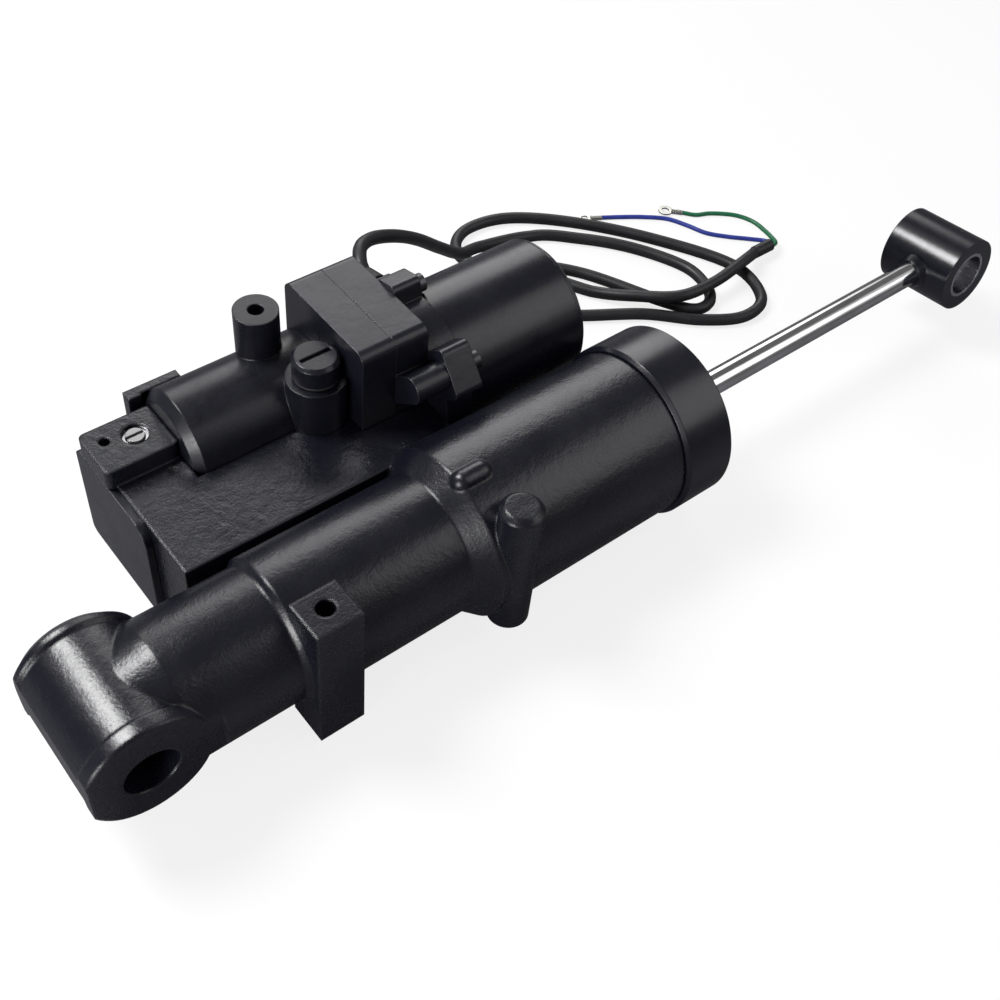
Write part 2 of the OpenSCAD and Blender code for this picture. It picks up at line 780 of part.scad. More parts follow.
module cylinder_body() {
    color(black_paint) difference() {
        union() {
            difference() {
                union() {
                    barrel_outside();
                    lower_boss_outside();
                }
                box(nose_x - boss_r, boss_trim_x, boss_near - 2 * neck_r, boss_near, -tube_r, tube_r);
            }
            side_lug();
            round_lug();
            tube_nub();
            block_outside();
        }
        rod_y(boss_near - over, boss_far + over, lower_bore_d / 2);
        rod_x(barrel_floor_x, tube_end_x + over, bore_r);
        rod_x(nose_end_x - oil_ring, tube_end_x + over, thread_r + slip);
        for (z = [lug_half_h - lug_hole_depth, -lug_half_h - over])
            translate([lug_x + lug_w / 2, lug_hole_y, 0])
                rod_z(z, z + lug_hole_depth + over, lug_hole_r);
        at_tank() rod_x(saddle_x, pump_x + over, tank_r + saddle_gap);
        plate_x(block_x - over, block_x + pocket_depth) pocket_shape(0);
        at_valve() rod_x(block_x, valve_mid_x + valve_half, valve_r);
        at_relief() rod_x(block_x, relief_seat_x + relief_seat_len, relief_r);
        at_relief() rod_x(relief_seat_x, relief_seat_x + 3 * relief_seat_len, relief_hole_r);
        cylinder_passages();
        rod_gallery();
        translate([release_x, release_y, 0]) {
            rod_z(pad_top - release_hole_depth, pad_top + over, release_hole_r);
            rod_z(release_thread_bottom, pad_top, release_thread_r + slip);
            rod_z(valve_z, release_thread_bottom + over, release_tip_r + slip);
            rod_z(release_tip_z, release_thread_bottom + over, release_stem_r + release_step);
            rod_z(circlip_z - slip, circlip_z + circlip_t + slip, circlip_outer_r + slip);
        }
        translate([cored_hole_x, cored_hole_y, 0])
            rod_z(pad_top - cored_hole_depth, pad_top + over, cored_hole_r);
        translate([dot_x, dot_y, 0]) rod_z(block_top - dot_depth, block_top + over, dot_r);
        for (k = [0 : len(pump_screw_y) - 1])
            translate([0, pump_screw_y[k], pump_screw_z])
                rod_x(pump_x - pump_screw_bite - over, pump_x + over, pump_screw_r + slip);
        translate([0, gallery_y, valve_z]) rod_x(valve_mid_x + valve_half - over, pump_x + over, port_r);
    }
}

// End cap with its seals
module cylinder_end_cap() {
    color(black_paint) difference() {
        union() {
            turned_x([[0, cap_x], [cap_r - cap_edge, cap_x], [cap_r, cap_x + cap_edge],
                [cap_r, cap_end_x - cap_edge], [cap_r - cap_edge, cap_end_x], [0, cap_end_x]]);
            rod_x(nose_end_x, cap_x + over, thread_r);
        }
        rod_x(nose_end_x - over, cap_end_x + over, rod_passage_r);
        rod_x(guide_x, cap_end_x + over, guide_r + slip);
        rod_x(cap_end_x - wiper_len, cap_end_x + over, wiper_r + slip);
        rod_x(rod_seal_x, rod_seal_x + rod_seal_len + slip, rod_seal_r + slip);
        difference() {
            rod_x(cap_ring_x - cap_ring_wire, cap_ring_x + cap_ring_wire, thread_r + over);
            rod_x(cap_ring_x - cap_ring_wire - over, cap_ring_x + cap_ring_wire + over,
                thread_r - 2 * cap_ring_wire - slip);
        }
        for (k = [0 : spanner_count - 1])
            rotate([(k + hex_socket_share) * 360 / spanner_count, 0, 0])
                translate([0, spanner_pitch_r, 0])
                rod_x(cap_end_x - spanner_hole_depth, cap_end_x + over, spanner_hole_r);
    }
}
module end_cap_oring() {
    color(rubber_black) ring_x(cap_ring_x, thread_r - cap_ring_wire, cap_ring_wire - slip);
}
module rod_wiper_seal() {
    color(rubber_black) turned_x([[rod_r + run, cap_end_x - wiper_len + slip],
        [wiper_r, cap_end_x - wiper_len + slip], [wiper_r, cap_end_x],
        [rod_r + wiper_lip, cap_end_x], [rod_r + wiper_lip / 2, cap_end_x + wiper_lip],
        [rod_r + run, cap_end_x + wiper_lip / 2]]);
}
module rod_seal() {
    color(seal_green) turned_x([[rod_r + run, rod_seal_x + slip], [rod_seal_r, rod_seal_x + slip],
        [rod_seal_r, rod_seal_x + rod_seal_len], [rod_r + run, rod_seal_x + rod_seal_len]]);
}
module rod_guide_bush() {
    color(bronze) turned_x([[rod_r + run, guide_x + slip], [guide_r, guide_x + slip],
        [guide_r, guide_x + guide_len], [rod_r + run, guide_x + guide_len]]);
}

// Rod and pistons
module piston_rod() {
    rod_end_x = pin_to_pin - eye_r + rod_socket;
    color(bare_steel) turned_x([[0, nut_back_x], [spigot_r, nut_back_x],
        [spigot_r, piston_front_x], [rod_r, piston_front_x], [rod_r, rod_end_x - rod_tip_chamfer],
        [rod_r - rod_tip_chamfer, rod_end_x], [0, rod_end_x]]);
}
module at_eye() {
    translate([pin_to_pin, 0, 0]) rotate([-eye_turn, 0, 0]) children();
}
module rod_eye() {
    color(black_paint) difference() {
        union() {
            at_eye() rod_y(-eye_w / 2, eye_w / 2, eye_r);
            turned_x([[0, pin_to_pin - eye_r - weld_len], [rod_r + rod_tip_chamfer, pin_to_pin - eye_r - weld_len],
                [rod_r + weld_len, pin_to_pin - eye_r + over], [0, pin_to_pin - eye_r + over]]);
        }
        at_eye() rod_y(-eye_w, eye_w, eye_bore_d / 2 + eye_bush_t);
        rod_x(pin_to_pin - eye_r - weld_len - over, pin_to_pin - eye_r + rod_socket, rod_r + slip);
    }
}
module rod_eye_bush() {
    inner = eye_bore_d / 2;
    outer = inner + eye_bush_t;
    half = eye_w / 2;
    color(bare_steel) at_eye() rotate([-90, 0, 0]) rotate_extrude()
        polygon([[inner, -half], [outer, -half], [outer, half], [inner, half]]);
}
module shock_ring() {
    for (k = [0 : shock_count - 1])
        rotate([(k + hex_socket_share) * 360 / shock_count, 0, 0])
            translate([0, shock_pitch_r, 0]) children();
}
module tilt_piston() {
    color(cast_grey) difference() {
        rod_x(piston_back_x, piston_front_x, bore_r - run);
        rod_x(piston_back_x - over, piston_front_x + over, spigot_r + slip);
        difference() {
            rod_x(seal_groove_x - seal_groove_w, seal_groove_x, bore_r + over);
            rod_x(seal_groove_x - seal_groove_w - over, seal_groove_x + over, bore_r - seal_groove_depth);
        }
        shock_ring() {
            rod_x(piston_back_x - over, piston_front_x + over, shock_hole_r);
            rod_x(piston_back_x - over, piston_back_x + shock_pocket_len, shock_pocket_r);
        }
    }
}
module piston_seal_ring() {
    color(seal_green) turned_x([[bore_r - seal_groove_depth + run, seal_groove_x - seal_groove_w + slip],
        [bore_r - run, seal_groove_x - seal_groove_w + slip], [bore_r - run, seal_groove_x - slip],
        [bore_r - seal_groove_depth + run, seal_groove_x - slip]]);
}
module piston_nut() {
    color(bare_steel) difference() {
        translate([nut_back_x, 0, 0]) rotate([0, 90, 0])
            cylinder(h = nut_len, r = nut_corner_r, $fn = 6);
        rod_x(nut_back_x - over, nut_back_x + nut_len + over, spigot_r + slip);
    }
}
module spring_plate() {
    color(bare_steel) difference() {
        rod_x(piston_back_x - plate_t, piston_back_x, plate_r);
        rod_x(piston_back_x - plate_t - over, piston_back_x + over, spigot_r + slip);
    }
}
shock_ball_x = piston_back_x + shock_pocket_len - shock_ball_r;
module shock_valve_balls() {
    color(bare_steel) shock_ring() translate([shock_ball_x - slip, 0, 0]) sphere(r = shock_ball_r);
}
module shock_valve_springs() {
    color(bare_steel) shock_ring() translate([piston_back_x + slip, 0, 0])
        coil_spring(shock_spring_r, shock_wire_r, shock_ball_x - piston_back_x
            - seat_off(shock_ball_r, shock_spring_r, shock_wire_r) - 2 * slip, shock_curls);
}
module free_piston() {
    mid_x = (free_front_x + free_back_x) / 2;
    color(cast_grey) difference() {
        rod_x(free_back_x, free_front_x, bore_r - run);
        difference() {
            rod_x(mid_x - free_ring_wire - slip, mid_x + free_ring_wire + slip, bore_r + over);
            rod_x(mid_x - 2 * free_ring_wire, mid_x + 2 * free_ring_wire, bore_r - 2 * free_ring_wire - slip);
        }
    }
}
module free_piston_oring() {
    color(rubber_black) ring_x((free_front_x + free_back_x) / 2, bore_r - free_ring_wire - run, free_ring_wire);
}

// End cover over the valve bores
module cover_shape() {
    difference() {
        round_rect(cover_near, cover_far, cover_bottom, cover_top, cover_small_round);
        translate([cover_near - over, cover_top - cover_round]) square([cover_round + over, cover_round + over]);
    }
    translate([cover_near + cover_round, cover_top - cover_round]) circle(r = cover_round);
}
module end_cover() {
    color(black_paint) union() {
        plate_x(block_x - cover_t, block_x) cover_shape();
        plate_x(block_x - slip, block_x + pocket_depth - gasket_t - slip) pocket_shape(slip);
    }
}
module end_cover_gasket() {
    color(rubber_black) difference() {
        plate_x(block_x + pocket_depth - gasket_t, block_x + pocket_depth) pocket_shape(slip);
        at_valve() rod_x(block_x, block_x + 2 * pocket_depth, valve_r);
        at_relief() rod_x(block_x, block_x + 2 * pocket_depth, relief_r);
    }
}

// Manual release valve
module manual_release_valve() {
    groove_top = release_ring_z + release_ring_wire + slip;
    groove_bottom = release_ring_z - release_ring_wire - slip;
    groove_r = release_hole_r - 2 * release_ring_wire - slip;
    shoulder_z = pad_top - release_hole_depth + release_step;
    color(bare_steel) translate([release_x, release_y, 0]) difference() {
        turned_z([[0, release_tip_z], [release_tip_r + slip, release_tip_z + release_tip_r],
            [release_stem_r, release_tip_z + 2 * release_step], [release_stem_r, release_thread_bottom],
            [release_thread_r, release_thread_bottom + release_step], [release_thread_r, shoulder_z],
            [release_shoulder_r, shoulder_z + release_step], [release_shoulder_r, groove_bottom],
            [groove_r, groove_bottom], [groove_r, groove_top], [release_shoulder_r, groove_top],
            [release_shoulder_r, release_shoulder_top], [release_head_r, release_shoulder_top],
            [release_head_r, release_head_top], [0, release_head_top]]);
        translate([-2 * release_head_r, -release_slot_w / 2, release_head_top - release_slot_depth])
            cube([4 * release_head_r, release_slot_w, release_slot_depth + over]);
    }
}
module release_valve_oring() {
    color(rubber_black) translate([release_x, release_y, 0])
        ring_z(release_ring_z, release_hole_r - release_ring_wire - run, release_ring_wire);
}
module release_valve_circlip() {
    color(bare_steel) translate([release_x, release_y, 0]) difference() {
        rod_z(circlip_z, circlip_z + circlip_t, circlip_outer_r);
        rod_z(circlip_z - over, circlip_z + circlip_t + over, circlip_inner_r);
        translate([-circlip_mouth / 2, 0, circlip_z - over])
            cube([circlip_mouth, 2 * circlip_outer_r, circlip_t + 2 * over]);
    }
}

// Reservoir, its filter and its plug
module reservoir() {
    color(black_paint) difference() {
        union() {
            at_tank() turned_x([[0, tank_x], [tank_r - tank_edge, tank_x], [tank_r, tank_x + tank_edge],
                [tank_r, pump_x], [0, pump_x]]);
            intersection() {
                translate([plug_x, plug_y, 0]) rod_z(filler_bottom, filler_top, filler_r);
                box(tank_x, pump_x - slab_gap, 0, 2 * tank_y, 0, slab_top);
            }
            translate([boss_x, boss_y, 0]) rod_z(tank_z, boss_top, boss_outer_r);
        }
        at_tank() rod_x(tank_x + tank_wall, pump_x + over, tank_in_r);
        translate([plug_x, plug_y, 0]) rod_z(filler_hole_bottom, filler_top + over, filler_hole_r + slip);
        translate([boss_x, boss_y, 0]) rod_z(boss_top - boss_hole_depth, boss_top + over, boss_hole_r);
    }
}
module reservoir_oring() {
    color(rubber_black) at_tank()
        ring_x(pump_x - spigot_len / 2, tank_in_r - tank_ring_wire - run, tank_ring_wire);
}
module suction_filter() {
    color(bare_steel) translate([0, suction_y, suction_z]) difference() {
        rod_x(pump_x - filter_len, pump_x, filter_r);
        rod_x(pump_x - filter_len + filter_wall, pump_x + over, filter_in_r);
        for (k = [0 : filter_rows - 1], j = [1 : filter_rings])
            rotate([k * 360 / filter_rows, 0, 0])
                translate([pump_x - filter_len + j * filter_len / (filter_rings + 1), 0, 0])
                rod_z(filter_in_r - filter_hole_r, filter_r + over, filter_hole_r);
    }
}
module filler_plug() {
    groove_r = plug_head_r - 2 * plug_ring_wire - plug_chamfer;
    color(black_paint) translate([plug_x, plug_y, 0]) difference() {
        turned_z([[0, filler_top - plug_thread_len], [filler_hole_r - plug_chamfer, filler_top - plug_thread_len],
            [filler_hole_r, filler_top - plug_thread_len + plug_chamfer], [filler_hole_r, filler_top + slip],
            [groove_r, filler_top + slip], [groove_r, plug_head_bottom],
            [plug_head_r, plug_head_bottom], [plug_head_r, plug_head_top - plug_edge],
            [plug_head_r - plug_edge, plug_head_top], [0, plug_head_top]]);
        translate([-plug_slot_len / 2, -plug_slot_w / 2, plug_head_top - plug_slot_depth])
            cube([plug_slot_len, plug_slot_w, plug_slot_depth + over]);
    }
}
module filler_plug_oring() {
    color(rubber_black) translate([plug_x, plug_y, 0])
        ring_z(filler_top + plug_ring_wire, plug_head_r - plug_ring_wire - slip, plug_ring_wire - slip);
}

// Pump housing and adapter
module slab_shape() {
    round_rect(slab_y, slab_far, slab_bottom, slab_top, slab_edge);
}
module at_ear(angle, radius) {
    at_motor() rotate([angle, 0, 0]) translate([0, radius, 0]) children();
}
module gear_outline_room() {
    for (y = [0, gear_shift])
        translate([0, y, 0]) rod_x(gear_x, adapter_x + over, gear_tip_r + gear_chamber_gap);
}
module pump_housing() {
    color(black_paint) difference() {
        union() {
            plate_x(pump_x, adapter_x) slab_shape();
            at_tank() rod_x(pump_x - spigot_len, pump_x + over, tank_in_r - slip);
        }
        at_tank() rod_x(pump_x - spigot_len - over, pump_x, tank_in_r - spigot_wall);
        at_tank() difference() {
            rod_x(pump_x - spigot_len / 2 - tank_ring_wire, pump_x - spigot_len / 2 + tank_ring_wire, tank_r);
            rod_x(pump_x - spigot_len, pump_x, tank_in_r - 2 * tank_ring_wire - run - slip);
        }
        translate([plug_x, plug_y, 0]) rod_z(block_top, filler_top + over, filler_hole_r + plug_chamfer);
        at_motor() {
            gear_outline_room();
            rod_x(gear_x - shaft_front - over, adapter_x, shaft_r + run);
            translate([0, gear_shift, 0]) rod_x(gear_x - shaft_front - over, adapter_x, shaft_r + run);
        }
        translate([0, suction_y, suction_z]) rod_x(pump_x - over, gallery_x, filter_in_r);
        translate([gallery_x, gallery_y, 0]) rod_z(valve_z - port_r, motor_z - gear_pitch_r, port_r);
        translate([0, gallery_y, valve_z]) rod_x(pump_x - over, gallery_x + port_r, port_r);
        for (angle = [ear_angles[0], ear_angles[2], ear_angles[3]])
            at_ear(angle, ear_hole_near)
                rod_x(flange_x - 2 * motor_screw_bite, adapter_x + over, motor_screw_r + slip);
        for (k = [0 : len(pump_screw_y) - 1])
            translate([0, pump_screw_y[k], pump_screw_z])
                rod_x(pump_x - over, adapter_x + over, pump_screw_r + slip);
    }
}
module pump_adapter() {
    color(black_paint) difference() {
        union() {
            plate_x(adapter_x, flange_x) slab_shape();
            at_ear(ear_angles[1], ear_hole_near) rod_x(adapter_x, flange_x, adapter_ear_r);
            at_motor() rotate([ear_angles[1], 0, 0])
                box(adapter_x, flange_x, 0, ear_hole_near, -adapter_ear_r, adapter_ear_r);
        }
        at_motor() {
            rod_x(adapter_x - over, flange_x + over, shaft_r + run);
            translate([0, gear_shift, 0]) rod_x(adapter_x - over, adapter_x + idler_back + over, shaft_r + run);
            rod_x(seal_x, flange_x + over, seal_r + slip);
        }
        for (angle = ear_angles)
            at_ear(angle, ear_hole_near)
                rod_x(flange_x - motor_screw_bite - over, flange_x + over, motor_screw_r + slip);
        for (k = [0 : len(pump_screw_y) - 1])
            translate([0, pump_screw_y[k], pump_screw_z]) {
                rod_x(adapter_x - over, flange_x + over, pump_screw_r + slip);
                rod_x(flange_x - pump_screw_head_len, flange_x + over, pump_screw_head_r + slip);
            }
    }
}

// Gears with involute teeth
function involute(angle) = tan(angle) * 180 / PI - angle;
gear_base_r = gear_pitch_r * cos(pressure_angle);
function half_tooth(r) = 90 / gear_teeth * (1 - backlash_share) + involute(pressure_angle)
    - involute(acos(gear_base_r / r));
function polar(r, angle) = [r * cos(angle), r * sin(angle)];
gear_steps = 4;
function tooth(k) = let (a = k * 360 / gear_teeth, grow = (gear_tip_r - gear_base_r) / gear_steps)
    concat([polar(gear_root_r, a - half_tooth(gear_base_r))],
        [for (j = [0 : gear_steps]) polar(gear_base_r + j * grow, a - half_tooth(gear_base_r + j * grow))],
        [for (j = [gear_steps : -1 : 0]) polar(gear_base_r + j * grow, a + half_tooth(gear_base_r + j * grow))],
        [polar(gear_root_r, a + half_tooth(gear_base_r))]);
module gear_body(turn) {
    plate_x(gear_x + gear_play, gear_x + gear_w - gear_play) rotate([0, 0, turn])
        polygon([for (k = [0 : gear_teeth - 1]) each tooth(k)]);
}
module drive_gear() {
    color(bare_steel) at_motor() difference() {
        union() {
            gear_body(0);
            rod_x(gear_x - shaft_front, drive_end_x, shaft_r);
        }
        box(drive_end_x - tongue_len / 2, drive_end_x + over, -2 * shaft_r, 2 * shaft_r,
            -tongue_t / 2 - tongue_fit, tongue_t / 2 + tongue_fit);
    }
}
module driven_gear() {
    color(bare_steel) at_motor() translate([0, gear_shift, 0]) {
        gear_body(180 / gear_teeth);
        rod_x(gear_x - shaft_front, adapter_x + idler_back, shaft_r);
    }
}
module drive_coupling() {
    mid_x = drive_end_x + shaft_split / 2;
    color(bare_steel) at_motor() box(mid_x - tongue_len / 2 + apart, mid_x + tongue_len / 2 - apart,
        -tongue_half_w, tongue_half_w, -tongue_t / 2, tongue_t / 2);
}
module motor_shaft_seal() {
    color(seal_green) at_motor() turned_x([[shaft_r + run, seal_x + slip], [seal_r, seal_x + slip],
        [seal_r, seal_x + seal_len], [shaft_r + run, seal_x + seal_len]]);
}

// Shuttle valve and check valves
module both_ways() {
    translate([valve_mid_x, 0, 0]) children();
    translate([valve_mid_x, 0, 0]) mirror([1, 0, 0]) children();
}
module shuttle_piston() {
    color(bare_steel) at_valve() union() {
        rod_x(valve_mid_x - shuttle_half, valve_mid_x + shuttle_half, valve_r - run);
        rod_x(valve_mid_x - pin_half, valve_mid_x + pin_half, pin_r);
    }
}
module main_check_seats() {
    color(bare_steel) at_valve() both_ways() difference() {
        rod_x(seat_start, seat_start + seat_len, valve_r - slip);
        rod_x(seat_start - over, seat_start + seat_len + over, seat_hole_r);
    }
}
check_ball_in = seat_start + seat_len + sqrt(check_ball_r * check_ball_r - seat_hole_r * seat_hole_r);
module main_check_balls() {
    color(bare_steel) at_valve() both_ways() translate([check_ball_in + slip, 0, 0]) sphere(r = check_ball_r);
}
module main_check_springs() {
    start = check_ball_in + seat_off(check_ball_r, check_spring_r, check_wire_r) + slip;
    color(bare_steel) at_valve() both_ways() translate([start, 0, 0])
        coil_spring(check_spring_r, check_wire_r, valve_half - start - slip, check_curls);
}
module relief_valve_seat() {
    color(bare_steel) at_relief() difference() {
        rod_x(relief_seat_x, relief_seat_x + relief_seat_len - slip, relief_r - slip);
        rod_x(relief_seat_x - over, relief_seat_x + relief_seat_len + over, relief_hole_r);
    }
}
relief_ball_x = relief_seat_x - sqrt(relief_ball_r * relief_ball_r - relief_hole_r * relief_hole_r);
relief_plug_end = block_x + pocket_depth + relief_plug_len;
module relief_valve_ball() {
    color(bare_steel) at_relief() translate([relief_ball_x - slip, 0, 0]) sphere(r = relief_ball_r);
}
module relief_valve_spring() {
    color(bare_steel) at_relief() translate([relief_plug_end + slip, 0, 0])
        coil_spring(relief_spring_r, relief_wire_r,
            relief_ball_x - seat_off(relief_ball_r, relief_spring_r, relief_wire_r) - relief_plug_end - 2 * slip,
            relief_curls);
}
module relief_valve_plug() {
    color(bare_steel) at_relief() difference() {
        rod_x(block_x + pocket_depth + slip, relief_plug_end, relief_r - slip);
        translate([block_x + pocket_depth, 0, 0]) rotate([0, 90, 0])
            cylinder(h = relief_socket_depth, r = relief_socket_r, $fn = 6);
    }
}

// Screws along X with their heads at the far end
module cap_screw(x, shank_r, bite, head_r, head_len) {
    difference() {
        union() {
            rod_x(x - bite, x + over / 2, shank_r);
            rod_x(x, x + head_len, head_r);
        }
        translate([x + head_len * hex_socket_share, 0, 0]) rotate([0, 90, 0])
            cylinder(h = head_len, r = head_r * hex_socket_share, $fn = 6);
    }
}
module pump_screws() {
    color(bare_steel) for (k = [0 : len(pump_screw_y) - 1])
        translate([0, pump_screw_y[k], pump_screw_z])
            cap_screw(flange_x - pump_screw_head_len, pump_screw_r,
                2 * slab_t - pump_screw_head_len + pump_screw_bite, pump_screw_head_r, pump_screw_head_len);
}
module motor_screws() {
    color(bare_steel) for (angle = ear_angles)
        at_ear(angle, ear_hole_near)
            cap_screw(can_x, motor_screw_r, flange_t + motor_screw_bite, motor_screw_head_r, motor_screw_head_len);
}

// Motor
module flange_ear(angle, half_w) {
    rotate([0, 0, angle]) round_rect(0, ear_end, -half_w, half_w, ear_edge);
}
module flange_shape() {
    circle(r = flange_disc_r);
    for (k = [1 : 3])
        flange_ear(ear_angles[k], ear_half_w);
    flange_ear(ear_angles[0], top_ear_half_w);
}
module motor_flange() {
    color(black_paint) difference() {
        union() {
            at_motor() plate_x(flange_x, can_x) flange_shape();
            plate_x(flange_x + over, can_x - over)
                round_rect(cable_boss_near, cable_boss_far, cable_boss_low, cable_boss_high, ear_edge);
        }
        at_motor() {
            rod_x(flange_x - over, can_x + over, shaft_r + shaft_room);
            rod_x(front_bearing_x, can_x + over, front_bearing_r + slip);
            rod_x(can_x - over, can_x + over, can_r - can_wall);
        }
        for (angle = ear_angles)
            at_ear(angle, ear_hole_near) rod_x(flange_x - over, can_x + over, motor_screw_r + slip);
        translate([gland_x, 0, gland_z]) rod_y(gland_y - gland_in - slip, gland_y + over, gland_plug_r + slip);
        translate([gland_x, 0, gland_z]) rod_y(gland_y, gland_y + gland_out, gland_r + slip);
    }
}
module motor_can() {
    inner_r = can_r - can_wall;
    color(black_paint) at_motor() turned_x([[inner_r, can_x], [can_r, can_x],
        [can_r, can_end_x - end_cap_t - slip], [inner_r, can_end_x - end_cap_t - slip]]);
}
module motor_end_cap() {
    inner_r = can_r - can_wall;
    color(black_paint) at_motor() difference() {
        turned_x([[0, can_end_x - end_cap_t - end_cap_spigot], [inner_r - slip, can_end_x - end_cap_t - end_cap_spigot],
            [inner_r - slip, can_end_x - end_cap_t], [can_r, can_end_x - end_cap_t],
            [can_r, can_end_x - can_edge], [can_r - can_edge, can_end_x], [0, can_end_x]]);
        rod_x(rear_bearing_x, rear_bearing_x + bearing_len + slip, rear_bearing_r + slip);
    }
}
module motor_magnets() {
    inner_r = can_r - can_wall;
    color(magnet_grey) at_motor() for (side = [0, 180])
        translate([magnet_x, 0, 0]) rotate([side + (180 - magnet_arc) / 2, 0, 0]) rotate([0, 90, 0])
            rotate([0, 0, -90]) rotate([0, 0, 180]) rotate_extrude(angle = magnet_arc)
            translate([inner_r - magnet_gap - magnet_t, 0]) square([magnet_t, magnet_len]);
}
module armature() {
    color(magnet_grey) at_motor() difference() {
        union() {
            rod_x(drive_end_x + shaft_split, motor_shaft_end_x, shaft_r);
            difference() {
                rod_x(core_x, core_x + core_len, core_r);
                for (k = [0 : core_slots - 1])
                    rotate([k * 360 / core_slots, 0, 0])
                        translate([core_x - over, core_r - core_slot_depth, -core_slot_w / 2])
                        cube([core_len + 2 * over, core_slot_depth + over, core_slot_w]);
            }
            for (x = [core_x - winding_len, core_x + core_len - over / 2])
                rod_x(x, x + winding_len + over / 2, winding_r);
        }
        box(drive_end_x - over, drive_end_x + shaft_split / 2 + tongue_len / 2, -2 * shaft_r, 2 * shaft_r,
            -tongue_t / 2 - tongue_fit, tongue_t / 2 + tongue_fit);
    }
}
module commutator() {
    color(copper) at_motor() difference() {
        rod_x(commutator_x, commutator_x + commutator_len, commutator_r);
        rod_x(commutator_x - over, commutator_x + commutator_len + over, shaft_r + slip);
        for (k = [0 : core_slots - 1])
            rotate([k * 360 / core_slots, 0, 0])
                translate([commutator_x - over, commutator_r - bar_slit_depth, -bar_slit / 2])
                cube([commutator_len + 2 * over, bar_slit_depth + over, bar_slit]);
    }
}
brush_x = holder_x + holder_t + brush_box_wall;
brush_room_end = commutator_r + 2 * brush_len;
module both_sides() {
    for (side = [0, 180])
        rotate([side, 0, 0]) children();
}
module brush_room(grow) {
    both_sides() box(brush_x - grow, brush_x + brush_w + grow, -brush_h / 2 - grow, brush_h / 2 + grow,
        commutator_r - over, brush_room_end);
}
module brush_holder() {
    half_w = brush_h / 2 + brush_box_wall;
    color(resin_brown) at_motor() difference() {
        union() {
            rod_x(holder_x, holder_x + holder_t, can_r - can_wall - slip);
            both_sides() box(holder_x, brush_x + brush_w + brush_box_wall, -half_w, half_w,
                holder_in_r + brush_box_wall, brush_room_end + brush_box_wall);
        }
        rod_x(holder_x - over, holder_x + holder_t + over, holder_in_r);
        brush_room(slip);
    }
}
module brushes() {
    color(magnet_grey) at_motor() difference() {
        intersection() {
            brush_room(0);
            rod_x(brush_x - over, brush_x + brush_w + over, commutator_r + brush_len);
        }
        rod_x(brush_x - over, brush_x + brush_w + over, commutator_r + run);
    }
}
module brush_springs() {
    color(bare_steel) at_motor() both_sides()
        translate([brush_x + brush_w / 2, 0, commutator_r + brush_len + slip]) rotate([0, -90, 0])
        coil_spring(brush_spring_r, brush_wire_r, brush_len - apart, brush_curls);
}
module bearing(x, outer_r) {
    at_motor() difference() {
        rod_x(x, x + bearing_len, outer_r);
        rod_x(x - over, x + bearing_len + over, shaft_r + run);
        difference() {
            rod_x(x - over, x + over, outer_r - bearing_ring_t);
            rod_x(x - 2 * over, x + 2 * over, shaft_r + bearing_ring_t);
        }
    }
}
module front_bearing() {
    color(bare_steel) bearing(front_bearing_x + slip, front_bearing_r);
}
module rear_bearing() {
    color(bare_steel) bearing(rear_bearing_x, rear_bearing_r);
}

// Cable, its gland and its leads
module cable_gland() {
    color(rubber_black) translate([gland_x, 0, gland_z]) difference() {
        rotate([-90, 0, 0]) rotate_extrude() polygon([[0, gland_y - gland_in], [gland_plug_r, gland_y - gland_in],
            [gland_plug_r, gland_y], [gland_r, gland_y], [gland_tip_r, gland_y + gland_out], [0, gland_y + gland_out]]);
        rod_y(gland_y - gland_in - over, gland_y - gland_in / 2, gland_room_r);
    }
}
module cable() {
    color(rubber_black) swept(cable_points, cable_rings, cable_r, cable_sides, [0, 1, 0], sleeve_dir);
}
module sheath_end_sleeve() {
    color(rubber_black) translate(cable_points[len(cable_points) - 1]) rod_x(0, sleeve_len, sleeve_r);
}
function last_step(p) = unit(p[len(p) - 1] - p[len(p) - 2]);
module blue_lead() {
    color(lead_blue) swept(blue_points, lead_rings, lead_r, lead_sides, sleeve_dir, last_step(blue_points));
}
module green_lead() {
    color(lead_green) swept(green_points, lead_rings, lead_r, lead_sides, sleeve_dir, last_step(green_points));
}
module terminal(points) {
    way = last_step(points);
    translate(points[len(points) - 1]) rotate([0, 0, atan2(way[1], way[0])]) {
        rod_x(0, terminal_barrel_len, terminal_barrel_r);
        translate([terminal_barrel_len + terminal_r - terminal_bite, 0, -terminal_t / 2]) difference() {
            cylinder(h = terminal_t, r = terminal_r);
            translate([0, 0, -over]) cylinder(h = terminal_t + 2 * over, r = terminal_hole_r);
        }
    }
}
module ring_terminals() {
    color(bare_steel) {
        terminal(blue_points);
        terminal(green_points);
    }
}
function least_gap(c, r, skip) = min([for (j = [0 : len(c) - 1 - skip], k = [j + skip : len(c) - 1]) norm(c[j] - c[k])])
    - 2 * r;
fine_route = route(cable_points, 4 * cable_rings, cable_r);
echo(cable_length = route_length(fine_route));
echo(cable_least_gap = least_gap(fine_route, cable_r, 2 * wire_steps));

